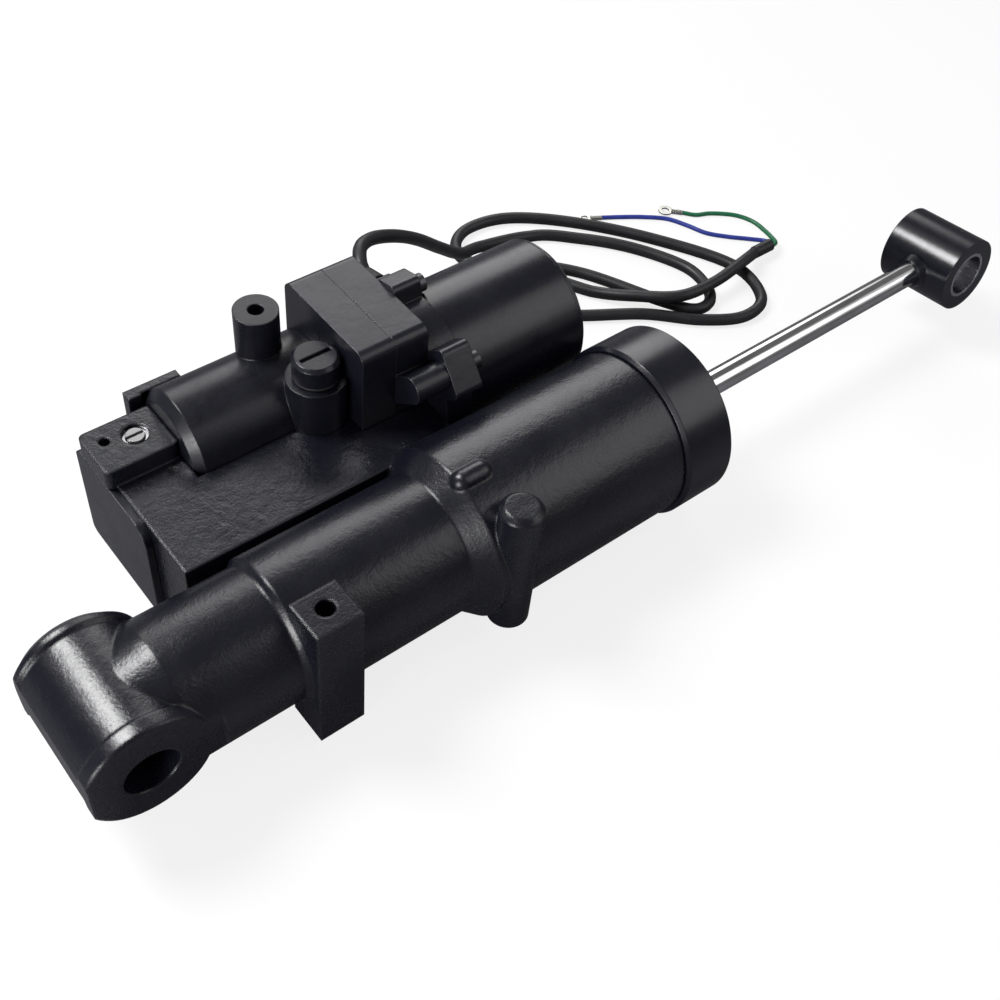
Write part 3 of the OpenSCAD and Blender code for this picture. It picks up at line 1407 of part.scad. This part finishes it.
cylinder_body();
cylinder_end_cap();
end_cap_oring();
rod_wiper_seal();
rod_seal();
rod_guide_bush();
piston_rod();
rod_eye();
rod_eye_bush();
tilt_piston();
piston_seal_ring();
piston_nut();
spring_plate();
shock_valve_balls();
shock_valve_springs();
free_piston();
free_piston_oring();
end_cover();
end_cover_gasket();
manual_release_valve();
release_valve_oring();
release_valve_circlip();
reservoir();
reservoir_oring();
suction_filter();
filler_plug();
filler_plug_oring();
pump_housing();
pump_adapter();
drive_gear();
driven_gear();
drive_coupling();
motor_shaft_seal();
shuttle_piston();
main_check_seats();
main_check_balls();
main_check_springs();
relief_valve_seat();
relief_valve_ball();
relief_valve_spring();
relief_valve_plug();
pump_screws();
motor_flange();
motor_screws();
motor_can();
motor_end_cap();
motor_magnets();
armature();
commutator();
brush_holder();
brushes();
brush_springs();
front_bearing();
rear_bearing();
cable_gland();
cable();
sheath_end_sleeve();
blue_lead();
green_lead();
ring_terminals();
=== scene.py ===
import json
import math
import bpy
from mathutils import Matrix, Vector


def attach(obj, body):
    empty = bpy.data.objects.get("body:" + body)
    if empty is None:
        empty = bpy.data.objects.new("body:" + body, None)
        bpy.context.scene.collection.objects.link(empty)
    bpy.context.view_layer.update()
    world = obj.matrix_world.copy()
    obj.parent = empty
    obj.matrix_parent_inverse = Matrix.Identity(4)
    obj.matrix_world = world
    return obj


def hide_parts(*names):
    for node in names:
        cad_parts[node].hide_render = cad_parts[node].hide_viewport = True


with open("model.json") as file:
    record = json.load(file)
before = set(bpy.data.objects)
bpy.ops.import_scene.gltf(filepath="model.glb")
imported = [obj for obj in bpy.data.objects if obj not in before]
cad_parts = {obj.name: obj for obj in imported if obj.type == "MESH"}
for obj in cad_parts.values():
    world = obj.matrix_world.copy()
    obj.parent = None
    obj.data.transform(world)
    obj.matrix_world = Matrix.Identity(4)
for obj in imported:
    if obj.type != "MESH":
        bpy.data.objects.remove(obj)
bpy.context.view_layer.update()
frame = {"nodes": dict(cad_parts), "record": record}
nodes = frame["nodes"]
bodies = frame["record"]["behaviour"]["bodies"]
bodyOf = {name: body for body, members in bodies.items() for name in members}
slotOf = {part["node"]: part["material_slot"] for part in frame["record"]["subparts"]}
print("frame loaded,", len(nodes), "nodes")

# Camera

view = {
    "place": (-0.0728, -0.2631, 0.4317),
    "right": (0.7776, -0.6232, 0.0836),
    "up": (0.4348, 0.6290, 0.6445),
    "back": (-0.4542, -0.4648, 0.7600),
    "lens": 46.69,
    "sensor": 36,
    "nearest": 0.01,
}
bpy.ops.object.camera_add()
camera = bpy.context.object
turn = Matrix((view["right"], view["up"], view["back"])).transposed().to_4x4()
camera.matrix_world = Matrix.Translation(view["place"]) @ turn
camera.data.lens = view["lens"]
camera.data.sensor_width = view["sensor"]
camera.data.clip_start = view["nearest"]
bpy.context.scene.camera = camera
print("camera set")


# Shader maths: a wrapped socket that takes part in plain expressions

class Value:
    def __init__(self, finish, socket):
        self.finish = finish
        self.socket = socket

    def math(self, operation, other=None, swapped=False):
        first, second = (other, self) if swapped else (self, other)
        inputs = {0: first} if second is None else {0: first, 1: second}
        return self.finish.add("ShaderNodeMath", {"operation": operation}, inputs)

    def __add__(self, other):
        return self.math("ADD", other)

    __radd__ = __add__

    def __mul__(self, other):
        return self.math("MULTIPLY", other)

    __rmul__ = __mul__

    def __sub__(self, other):
        return self.math("SUBTRACT", other)

    def __rsub__(self, other):
        return self.math("SUBTRACT", other, swapped=True)

    def above(self, limit):
        return self.math("GREATER_THAN", limit)

    def clamped(self):
        return self.finish.add("ShaderNodeClamp", {}, {"Value": self})


class Finish:
    def __init__(self, name, **fixed):
        self.material = bpy.data.materials.new(name)
        self.material.use_nodes = True
        self.tree = self.material.node_tree
        self.shader = next(n for n in self.tree.nodes if n.type == "BSDF_PRINCIPLED")
        for key, value in fixed.items():
            self.shader.inputs[key.replace("_", " ")].default_value = value

    def add(self, kind, settings=None, inputs=None, output=0):
        node = self.tree.nodes.new(kind)
        for key, value in (settings or {}).items():
            if key == "stops":
                ramp = node.color_ramp.elements
                while len(ramp) < len(value):
                    ramp.new(0.5)
                for stop, (place, level) in zip(ramp, value):
                    stop.position = place
                    stop.color = (level, level, level, 1)
            else:
                setattr(node, key, value)
        for key, value in (inputs or {}).items():
            if isinstance(value, Value):
                self.tree.links.new(value.socket, node.inputs[key])
            else:
                node.inputs[key].default_value = value
        return Value(self, node.outputs[output])

    def feed(self, **links):
        for key, value in links.items():
            self.tree.links.new(value.socket, self.shader.inputs[key.replace("_", " ")])
        return self

    def where(self):
        return self.add("ShaderNodeTexCoord", output="Object")

    def axis(self, name, vector=None):
        return self.add("ShaderNodeSeparateXYZ", {}, {0: vector or self.where()}, output=name)

    def stretched(self, scale, place=(0, 0, 0), turn=(0, 0, 0)):
        inputs = {"Vector": self.where(), "Location": place, "Rotation": turn, "Scale": scale}
        return self.add("ShaderNodeMapping", {"vector_type": "POINT"}, inputs)

    def noise(self, scale, detail=2.0, rough=0.5, vector=None, warp=0.0):
        inputs = {"Vector": vector or self.where(), "Scale": scale, "Detail": detail,
                  "Roughness": rough, "Distortion": warp}
        return self.add("ShaderNodeTexNoise", {}, inputs)

    def cells(self, scale, vector=None):
        return self.add("ShaderNodeTexVoronoi", {}, {"Vector": vector or self.where(), "Scale": scale})

    def ramp(self, value, *stops):
        return self.add("ShaderNodeValToRGB", {"stops": stops}, {"Fac": value})

    def blend(self, factor, low, high):
        low = low if isinstance(low, Value) else (*low, 1)
        high = high if isinstance(high, Value) else (*high, 1)
        return self.add("ShaderNodeMix", {"data_type": "RGBA"}, {0: factor, 6: low, 7: high}, output=2)

    def rounded(self, radius):
        return self.add("ShaderNodeBevel", {"samples": 6}, {"Radius": radius})

    def bump(self, height, distance, strength=1.0, normal=None):
        inputs = {"Height": height, "Distance": distance, "Strength": strength}
        if normal:
            inputs["Normal"] = normal
        return self.add("ShaderNodeBump", {}, inputs)


# Paint on the castings: satin black with a cold cast, skin of the sand below it

paint = {
    "colour": (0.0042, 0.0044, 0.0085),
    "dusty": (0.0095, 0.0098, 0.0145),
    "rubbed": (0.026, 0.026, 0.03),
    "speck": (0.05, 0.05, 0.056),
    "rough": 0.27,
    "shine": 0.5,
    "grainSize": 0.0011,
    "peelSize": 0.004,
}
castSkin = {
    "cloudScale": 38, "lumpScale": 130, "lumpWarp": 0.4, "speckScale": 420, "speckSize": 0.09,
    "wearGain": 7, "wearGrain": 0.6, "wearFrom": 0.75, "wearTo": 1.1 / 1.2, "wearShare": 0.35,
    "dustFrom": 0.45, "dustTo": 0.75, "dustShare": 0.45, "speckShare": 0.3,
    "cloudGloss": 0.22, "speckGloss": 0.15, "grainGloss": 0.12,
    "grainHeight": 0.5, "peelHeight": 0.7, "lumpHeight": 0.5, "blockLumps": 1.4, "blockFrom": 0.036,
    "depth": 0.0003, "strength": 0.6, "leastStrength": 0.4,
}
turnedSkin = {
    "cloudScale": 30, "latheMarks": (2600, 60, 60), "peelScale": 320,
    "dustFrom": 0.5, "dustTo": 0.8, "dustShare": 0.4, "smoother": -0.03,
    "cloudGloss": 0.16, "peelGloss": 0.08, "latheHeight": 0.3, "peelHeight": 0.7,
    "depth": 0.00012, "strength": 0.35,
}
metalSkin = {
    "smearScale": 55, "darker": 0.72, "smearFrom": 0.4, "smearTo": 0.8, "smearGloss": 0.14,
    "depth": 0.00004, "strength": 0.35,
}
mouldSkin = {
    "shine": 0.4, "bloomScale": 60, "bloomFrom": 0.42, "bloomTo": 0.72, "bloomShare": 0.4,
    "paleGain": 1.6, "paleLift": 0.003, "skinGloss": 0.2, "bloomGloss": 0.08, "strength": 0.5,
}
middle = 0.5  # the mean of a noise


def paintedCasting(name, grain=1.0, rough=0.0, radius=0.0011):
    k = castSkin
    finish = Finish(name, Roughness=paint["rough"], Specular_IOR_Level=paint["shine"])
    soft = finish.rounded(radius)
    flat = finish.add("ShaderNodeNewGeometry", output="True Normal")
    edge = 1 - finish.add("ShaderNodeVectorMath", {"operation": "DOT_PRODUCT"}, {0: soft, 1: flat}, output="Value")
    clouds = finish.noise(k["cloudScale"], 4, 0.6)
    grains = finish.noise(1 / paint["grainSize"], 3, 0.6)
    peel = finish.noise(1 / paint["peelSize"], 2, 0.5)
    specks = finish.ramp(finish.cells(k["speckScale"]), (0.0, 1), (k["speckSize"], 0))
    worn = edge * k["wearGain"] + grains * k["wearGrain"]
    rubbed = finish.ramp(worn, (k["wearFrom"], 0), (k["wearTo"], 1))
    dust = finish.ramp(clouds, (k["dustFrom"], 0), (k["dustTo"], 1))
    base = finish.blend(dust * k["dustShare"], paint["colour"], paint["dusty"])
    base = finish.blend(rubbed * k["wearShare"], base, paint["rubbed"])
    base = finish.blend(specks * dust * k["speckShare"], base, paint["speck"])
    gloss = (paint["rough"] + rough + (clouds - middle) * k["cloudGloss"] + specks * k["speckGloss"]
             + (grains - middle) * k["grainGloss"])
    lumps = finish.noise(k["lumpScale"], 4, 0.62, warp=k["lumpWarp"])
    onBlock = finish.axis("Y").above(k["blockFrom"])  # the block is rougher than the barrel
    height = (grains * k["grainHeight"] * grain + peel * k["peelHeight"]
              + lumps * (onBlock * k["blockLumps"] + k["lumpHeight"]) * grain)
    normal = finish.bump(height, k["depth"], k["strength"] * max(grain, k["leastStrength"]), soft)
    return finish.feed(Base_Color=base, Roughness=gloss.clamped(), Normal=normal)


# Paint on turned steel: smoother, with a trace of the turning under it

def paintedTurning(name, rough=0.0, radius=0.0007, rings=1.0):
    k = turnedSkin
    finish = Finish(name, Roughness=paint["rough"], Specular_IOR_Level=paint["shine"])
    soft = finish.rounded(radius)
    clouds = finish.noise(k["cloudScale"], 3, 0.55)
    lathe = finish.noise(1, 2, 0.6, finish.stretched(k["latheMarks"]))
    peel = finish.noise(k["peelScale"], 2, 0.5)
    dust = finish.ramp(clouds, (k["dustFrom"], 0), (k["dustTo"], 1))
    base = finish.blend(dust * k["dustShare"], paint["colour"], paint["dusty"])
    gloss = (paint["rough"] + k["smoother"] + rough + (clouds - middle) * k["cloudGloss"]
             + (peel - middle) * k["peelGloss"])
    height = lathe * k["latheHeight"] * rings + peel * k["peelHeight"]
    normal = finish.bump(height, k["depth"], k["strength"], soft)
    return finish.feed(Base_Color=base, Roughness=gloss.clamped(), Normal=normal)


# Bare metal: fine marks run round the piece or along it

def bareMetal(name, colour, rough=0.24, marks=(3000, 60, 60), markSize=0.3, radius=0.0003):
    k = metalSkin
    finish = Finish(name, Metallic=1.0, Roughness=rough)
    soft = finish.rounded(radius)
    fine = finish.noise(1, 3, 0.65, finish.stretched(marks))
    smears = finish.noise(k["smearScale"], 3, 0.6)
    darker = tuple(level * k["darker"] for level in colour)
    base = finish.blend(finish.ramp(smears, (k["smearFrom"], 0), (k["smearTo"], 1)), colour, darker)
    gloss = rough + (fine - middle) * markSize + (smears - middle) * k["smearGloss"]
    normal = finish.bump(fine, k["depth"], k["strength"], soft)
    return finish.feed(Base_Color=base, Roughness=gloss.clamped(), Normal=normal)


# Rubber and moulded plastic: dull, with a fine skin

def mouldedSkin(name, colour, rough=0.6, size=1400, depth=0.00005, radius=0.0004):
    k = mouldSkin
    finish = Finish(name, Roughness=rough, Specular_IOR_Level=k["shine"])
    soft = finish.rounded(radius)
    skin = finish.noise(size, 3, 0.6)
    bloom = finish.ramp(finish.noise(k["bloomScale"], 4, 0.6), (k["bloomFrom"], 0), (k["bloomTo"], 1))
    pale = tuple(level * k["paleGain"] + k["paleLift"] for level in colour)
    base = finish.blend(bloom * k["bloomShare"], colour, pale)
    gloss = rough + (skin - middle) * k["skinGloss"] + bloom * k["bloomGloss"]
    normal = finish.bump(skin, depth, k["strength"], soft)
    return finish.feed(Base_Color=base, Roughness=gloss.clamped(), Normal=normal)


finishes = {
    "casting": paintedCasting("castBlackPaint", radius=0.0018),
    "slab": paintedCasting("machinedBlackPaint", grain=0.5, rough=0.05, radius=0.0009),
    "turned": paintedTurning("turnedBlackPaint"),
    "can": paintedTurning("canBlackPaint", rough=0.04, rings=0.3),
    "rod": bareMetal("groundRod", (0.7, 0.7, 0.71), 0.1, (60, 900, 900), 0.1),
    "steel": bareMetal("bareSteel", (0.56, 0.56, 0.58)),
    "zinc": bareMetal("zincSteel", (0.3, 0.3, 0.3), 0.34, (700, 700, 700), 0.2),
    "dullZinc": bareMetal("dullZincSteel", (0.1, 0.1, 0.105), 0.4, (700, 700, 700), 0.2),
    "alloy": bareMetal("machinedAlloy", (0.72, 0.73, 0.75), 0.3, (2200, 80, 80), 0.25),
    "bronze": bareMetal("sinteredBronze", (0.5, 0.33, 0.16), 0.36, (900, 900, 900), 0.25),
    "copper": bareMetal("hardCopper", (0.7, 0.35, 0.2), 0.28, (2400, 80, 80), 0.25),
    "tin": bareMetal("tinnedCopper", (0.7, 0.69, 0.64), 0.3, (600, 600, 600), 0.2),
    "magnet": mouldedSkin("sinteredMagnet", (0.035, 0.035, 0.038), 0.5, 1600, 0.00006),
    "resin": mouldedSkin("brownBoard", (0.13, 0.07, 0.035), 0.5, 900, 0.00004),
    "rubber": mouldedSkin("blackRubber", (0.012, 0.012, 0.013), 0.55),
    "seal": mouldedSkin("greenSeal", (0.02, 0.045, 0.035), 0.45),
    "plastic": mouldedSkin("blackPlastic", (0.0045, 0.0047, 0.0085), 0.3, 700, 0.00005, 0.0009),
    "sheath": mouldedSkin("cableSheath", (0.012, 0.012, 0.014), 0.42, 500, 0.00006),
    "blueLead": mouldedSkin("blueInsulation", (0.02, 0.035, 0.25), 0.4, 1500, 0.00002),
    "greenLead": mouldedSkin("greenInsulation", (0.01, 0.12, 0.05), 0.4, 1500, 0.00002),
}
finishOfSlot = {
    "black_paint": "casting", "painted_steel": "turned", "bare_steel": "steel", "cast_alloy": "alloy",
    "black_rubber": "rubber", "seal": "seal", "bronze": "bronze", "copper": "copper", "magnet": "magnet",
    "resin": "resin", "black_plastic": "plastic", "sheath": "sheath", "blue": "blueLead",
    "green": "greenLead", "plated": "tin",
}
finishOfNode = {
    "piston_rod": "rod", "pump_housing": "slab", "pump_adapter": "slab", "motor_flange": "slab",
    "end_cover": "slab", "motor_can": "can", "motor_end_cap": "can", "motor_screws": "dullZinc",
    "pump_screws": "dullZinc", "manual_release_valve": "zinc",
}


def give(piece, finishName):
    piece.data.materials.clear()
    piece.data.materials.append(finishes[finishName].material)


for name, node in nodes.items():
    give(node, finishOfNode.get(name, finishOfSlot[slotOf[name]]))
print("materials made,", len(finishes))


# Tools for the pieces

copied = {"mergeGap": 0.000002, "flatAngle": 0.01, "squareAngle": 0.7}
tubeShape = {"roundness": 4, "smoothAngle": 0.9}


def alone(piece):
    bpy.ops.object.select_all(action="DESELECT")
    piece.select_set(True)
    bpy.context.view_layer.objects.active = piece


def finishModifiers(piece):
    alone(piece)
    for modifier in list(piece.modifiers):
        bpy.ops.object.modifier_apply(modifier=modifier.name)


def copyOf(nodeName, pieceName):
    piece = bpy.data.objects.new(pieceName, nodes[nodeName].data.copy())
    bpy.context.scene.collection.objects.link(piece)
    alone(piece)
    bpy.ops.object.mode_set(mode="EDIT")
    bpy.ops.mesh.select_all(action="SELECT")
    bpy.ops.mesh.remove_doubles(threshold=copied["mergeGap"])
    bpy.ops.mesh.tris_convert_to_quads(face_threshold=copied["flatAngle"],
                                       shape_threshold=copied["squareAngle"])
    bpy.ops.object.mode_set(mode="OBJECT")
    return piece


def settle(piece, nodeName, finishName=None):
    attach(piece, bodyOf[nodeName])
    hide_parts(nodeName)
    give(piece, finishName or finishOfNode.get(nodeName, finishOfSlot[slotOf[nodeName]]))
    return piece


def routeLength(points):
    return sum((Vector(b) - Vector(a)).length for a, b in zip(points, points[1:]))


def smoothRoute(points, steps, lowest):
    points = [Vector(p) * 0.001 for p in points]
    ends = [2 * points[0] - points[1]] + points + [2 * points[-1] - points[-2]]
    route = []
    for i in range(len(points) - 1):
        p0, p1, p2, p3 = ends[i:i + 4]
        for k in range(steps):
            t = k / steps
            route.append(0.5 * (2 * p1 + (p2 - p0) * t + (2 * p0 - 5 * p1 + 4 * p2 - p3) * t * t
                                + (3 * p1 - p0 - 3 * p2 + p3) * t * t * t))
    return [(p[0], p[1], max(p[2], lowest)) for p in route + [points[-1]]]


def tube(name, route, radius, finishName):
    data = bpy.data.curves.new(name, "CURVE")
    data.dimensions = "3D"
    data.bevel_depth = radius
    data.bevel_resolution = tubeShape["roundness"]
    data.use_fill_caps = True
    line = data.splines.new("POLY")
    line.points.add(len(route) - 1)
    for point, place in zip(line.points, route):
        point.co = (*place, 1)
    line.use_smooth = True
    piece = bpy.data.objects.new(name, data)
    bpy.context.scene.collection.objects.link(piece)
    alone(piece)
    bpy.ops.object.convert(target="MESH")
    bpy.ops.object.shade_smooth_by_angle(angle=tubeShape["smoothAngle"])
    give(piece, finishName)
    return piece


# Castings and turned pieces with their edges really rounded

roundedEdges = {
    "pump_housing": {"name": "pumpHousingSlab", "edge": 0.0011, "steps": 3},
    "pump_adapter": {"name": "pumpAdapterSlab", "edge": 0.0009, "steps": 3},
    "motor_flange": {"name": "motorFlangePlate", "edge": 0.0009, "steps": 3},
    "end_cover": {"name": "blockEndCover", "edge": 0.0008, "steps": 3},
    "cylinder_end_cap": {"name": "cylinderCap", "edge": 0.0009, "steps": 4},
    "reservoir": {"name": "fluidReservoir", "edge": 0.0009, "steps": 3},
    "filler_plug": {"name": "reservoirPlug", "edge": 0.0006, "steps": 3},
    "rod_eye": {"name": "ramEye", "edge": 0.0008, "steps": 3},
    "motor_end_cap": {"name": "motorRearCap", "edge": 0.0008, "steps": 4},
}
sharpest = math.radians(38)  # edges bent less than this are left alone
smoothAngle = 0.6
for nodeName, shape in roundedEdges.items():
    piece = copyOf(nodeName, shape["name"])
    edge = piece.modifiers.new("edges", "BEVEL")
    edge.width = shape["edge"]
    edge.segments = shape["steps"]
    edge.limit_method = "ANGLE"
    edge.angle_limit = sharpest
    faces = piece.modifiers.new("faces", "WEIGHTED_NORMAL")
    faces.keep_sharp = True
    alone(piece)
    bpy.ops.object.shade_smooth_by_angle(angle=smoothAngle)
    finishModifiers(piece)
    settle(piece, nodeName)
    print(shape["name"], len(piece.data.polygons), "faces")

# Cable and its two leads

cable = {
    "radius": 0.0033,
    "steps": 8,
    "points": [
        (193, 115, 42.5), (195, 122, 45), (201, 130, 45.5), (212, 135.5, 42), (228, 139, 34),
        (246, 145, 20), (268, 154, -1), (291, 164.5, -22), (311, 172, -31.2), (348, 171, -39),
        (372, 153, -39), (392, 130, -39), (406, 102, -39), (405, 83, -39), (397, 71.5, -39),
        (385, 71.5, -39), (374, 87, -39), (353, 128, -39), (330, 153, -39), (305, 171, -39),
        (306, 187, -39), (322, 196, -39), (348, 191, -39), (377, 168, -39), (407, 131, -39),
        (431, 87, -39), (425, 58, -39), (405, 51.5, -39), (382, 63, -39), (358, 84.5, -39),
        (326, 104, -39), (304, 122, -39), (308, 144, -39), (327, 144.5, -39), (346, 115, -39),
        (361, 95, -35), (379, 78.5, -31.6), (404, 76.5, -31.6), (430, 80, -31.4), (447, 85.5, -36)],
}
leads = {
    "radius": 0.0013,
    "steps": 10,
    "blue": [(460, 87.2, -36.6), (464, 88.8, -38.5), (465, 93.5, -40.5), (460, 99, -41), (450, 108, -41),
             (441, 118, -41), (436, 130, -41), (430, 141, -41), (419, 150, -41), (408, 157, -41), (397, 163, -40.8)],
    "green": [(460, 84.2, -36), (466, 86, -37.5), (470.5, 92, -40), (473, 101, -41), (473, 111, -41),
              (468, 121, -41), (457, 130, -41), (448, 134, -41), (442, 140, -40.8)],
}
tableTop = -0.0423
cableRoute = smoothRoute(cable["points"], cable["steps"], tableTop + cable["radius"])
motorCable = tube("motorCable", cableRoute, cable["radius"], "sheath")
settle(motorCable, "cable", "sheath")
for colour in ("blue", "green"):
    leadRoute = smoothRoute(leads[colour], leads["steps"], tableTop + leads["radius"])
    lead = tube(colour + "MotorLead", leadRoute, leads["radius"], colour + "Lead")
    settle(lead, colour + "_lead", colour + "Lead")
print("cable laid,", round(routeLength(cableRoute), 3), "m")

# Table, soft boxes and lamps

studio = {
    "floor": -0.0424,
    "floorSize": 8,
    "middle": (0.2, 0.05),
    "floorColour": (0.86, 0.86, 0.86),
    "floorRough": 0.7,
    "floorGlow": 0.8,
    "floorMirrored": (0.16, 0.16, 0.17),
    "aim": (0.2, 0.04, 0),
    "world": 0.16,
    "boxes": [
        {"towards": (0.45, 0.74, 0.5), "from": 0.93, "to": 0.975, "strength": 3.2},
        {"towards": (-0.35, 0.62, 0.7), "from": 0.9, "to": 0.97, "strength": 0.6},
        {"towards": (-0.93, -0.3, 0.2), "from": 0.85, "to": 0.97, "strength": 1.3},
        {"towards": (0.75, -0.45, 0.5), "from": 0.9, "to": 0.98, "strength": 0.5},
    ],
}
bpy.ops.mesh.primitive_plane_add(size=studio["floorSize"], location=(*studio["middle"], studio["floor"]))
table = bpy.context.object
table.name = "table"
white = Finish("paleTable", Base_Color=(*studio["floorColour"], 1), Roughness=studio["floorRough"])
ray = white.tree.nodes.new("ShaderNodeLightPath")
seen = Value(white, ray.outputs["Is Camera Ray"]) * studio["floorGlow"]
mirrored = Value(white, ray.outputs["Is Glossy Ray"])
shade = white.add("ShaderNodeBsdfDiffuse", inputs={"Color": (*studio["floorMirrored"], 1)})
glow = white.add("ShaderNodeEmission", inputs={"Color": (1, 1, 1, 1)})
lit = white.add("ShaderNodeMixShader", inputs={0: seen, 1: Value(white, white.shader.outputs[0]), 2: glow})
dim = white.add("ShaderNodeMixShader", inputs={0: mirrored, 1: lit, 2: shade})
out = next(n for n in white.tree.nodes if n.type == "OUTPUT_MATERIAL")
white.tree.links.new(dim.socket, out.inputs["Surface"])
table.data.materials.append(white.material)

world = bpy.data.worlds.new("studio")
bpy.context.scene.world = world
world.use_nodes = True
sky = next(n for n in world.node_tree.nodes if n.type == "BACKGROUND")
sky.inputs["Color"].default_value = (1, 1, 1, 1)


def skyMath(kind, operation, first, second=None, output=0):
    node = world.node_tree.nodes.new(kind)
    if operation:
        node.operation = operation
    for place, value in enumerate((first, second)):
        if value is None:
            continue
        if hasattr(value, "is_output"):
            world.node_tree.links.new(value, node.inputs[place])
        else:
            node.inputs[place].default_value = value
    return node.outputs[output]


facing = world.node_tree.nodes.new("ShaderNodeTexCoord").outputs["Generated"]
strength = studio["world"]
for softBox in studio["boxes"]:
    aim = Vector(softBox["towards"]).normalized()
    near = skyMath("ShaderNodeVectorMath", "DOT_PRODUCT", facing, aim, "Value")
    fade = world.node_tree.nodes.new("ShaderNodeMapRange")
    fade.interpolation_type = "SMOOTHSTEP"
    fade.inputs["From Min"].default_value = softBox["from"]
    fade.inputs["From Max"].default_value = softBox["to"]
    fade.inputs["To Max"].default_value = softBox["strength"]
    world.node_tree.links.new(near, fade.inputs["Value"])
    strength = skyMath("ShaderNodeMath", "ADD", fade.outputs[0], strength)
path = world.node_tree.nodes.new("ShaderNodeLightPath").outputs["Is Camera Ray"]
strength = skyMath("ShaderNodeMath", "MAXIMUM", strength, path)
world.node_tree.links.new(strength, sky.inputs["Strength"])

lamps = {
    "key": {"place": (-0.25, 0.55, 0.95), "size": 0.45, "power": 15},
    "end": {"place": (-0.75, -0.25, 0.12), "size": 0.35, "power": 5},
    "fill": {"place": (0.9, -0.7, 0.8), "size": 0.9, "power": 3},
}
for name, lamp in lamps.items():
    bpy.ops.object.light_add(type="AREA", location=lamp["place"])
    light = bpy.context.object
    light.name = name
    light.data.energy = lamp["power"]
    light.data.size = lamp["size"]
    aim = Vector(studio["aim"]) - Vector(lamp["place"])
    light.rotation_euler = aim.to_track_quat("-Z", "Y").to_euler()
bpy.context.scene.view_settings.view_transform = "Standard"
print("studio lit")
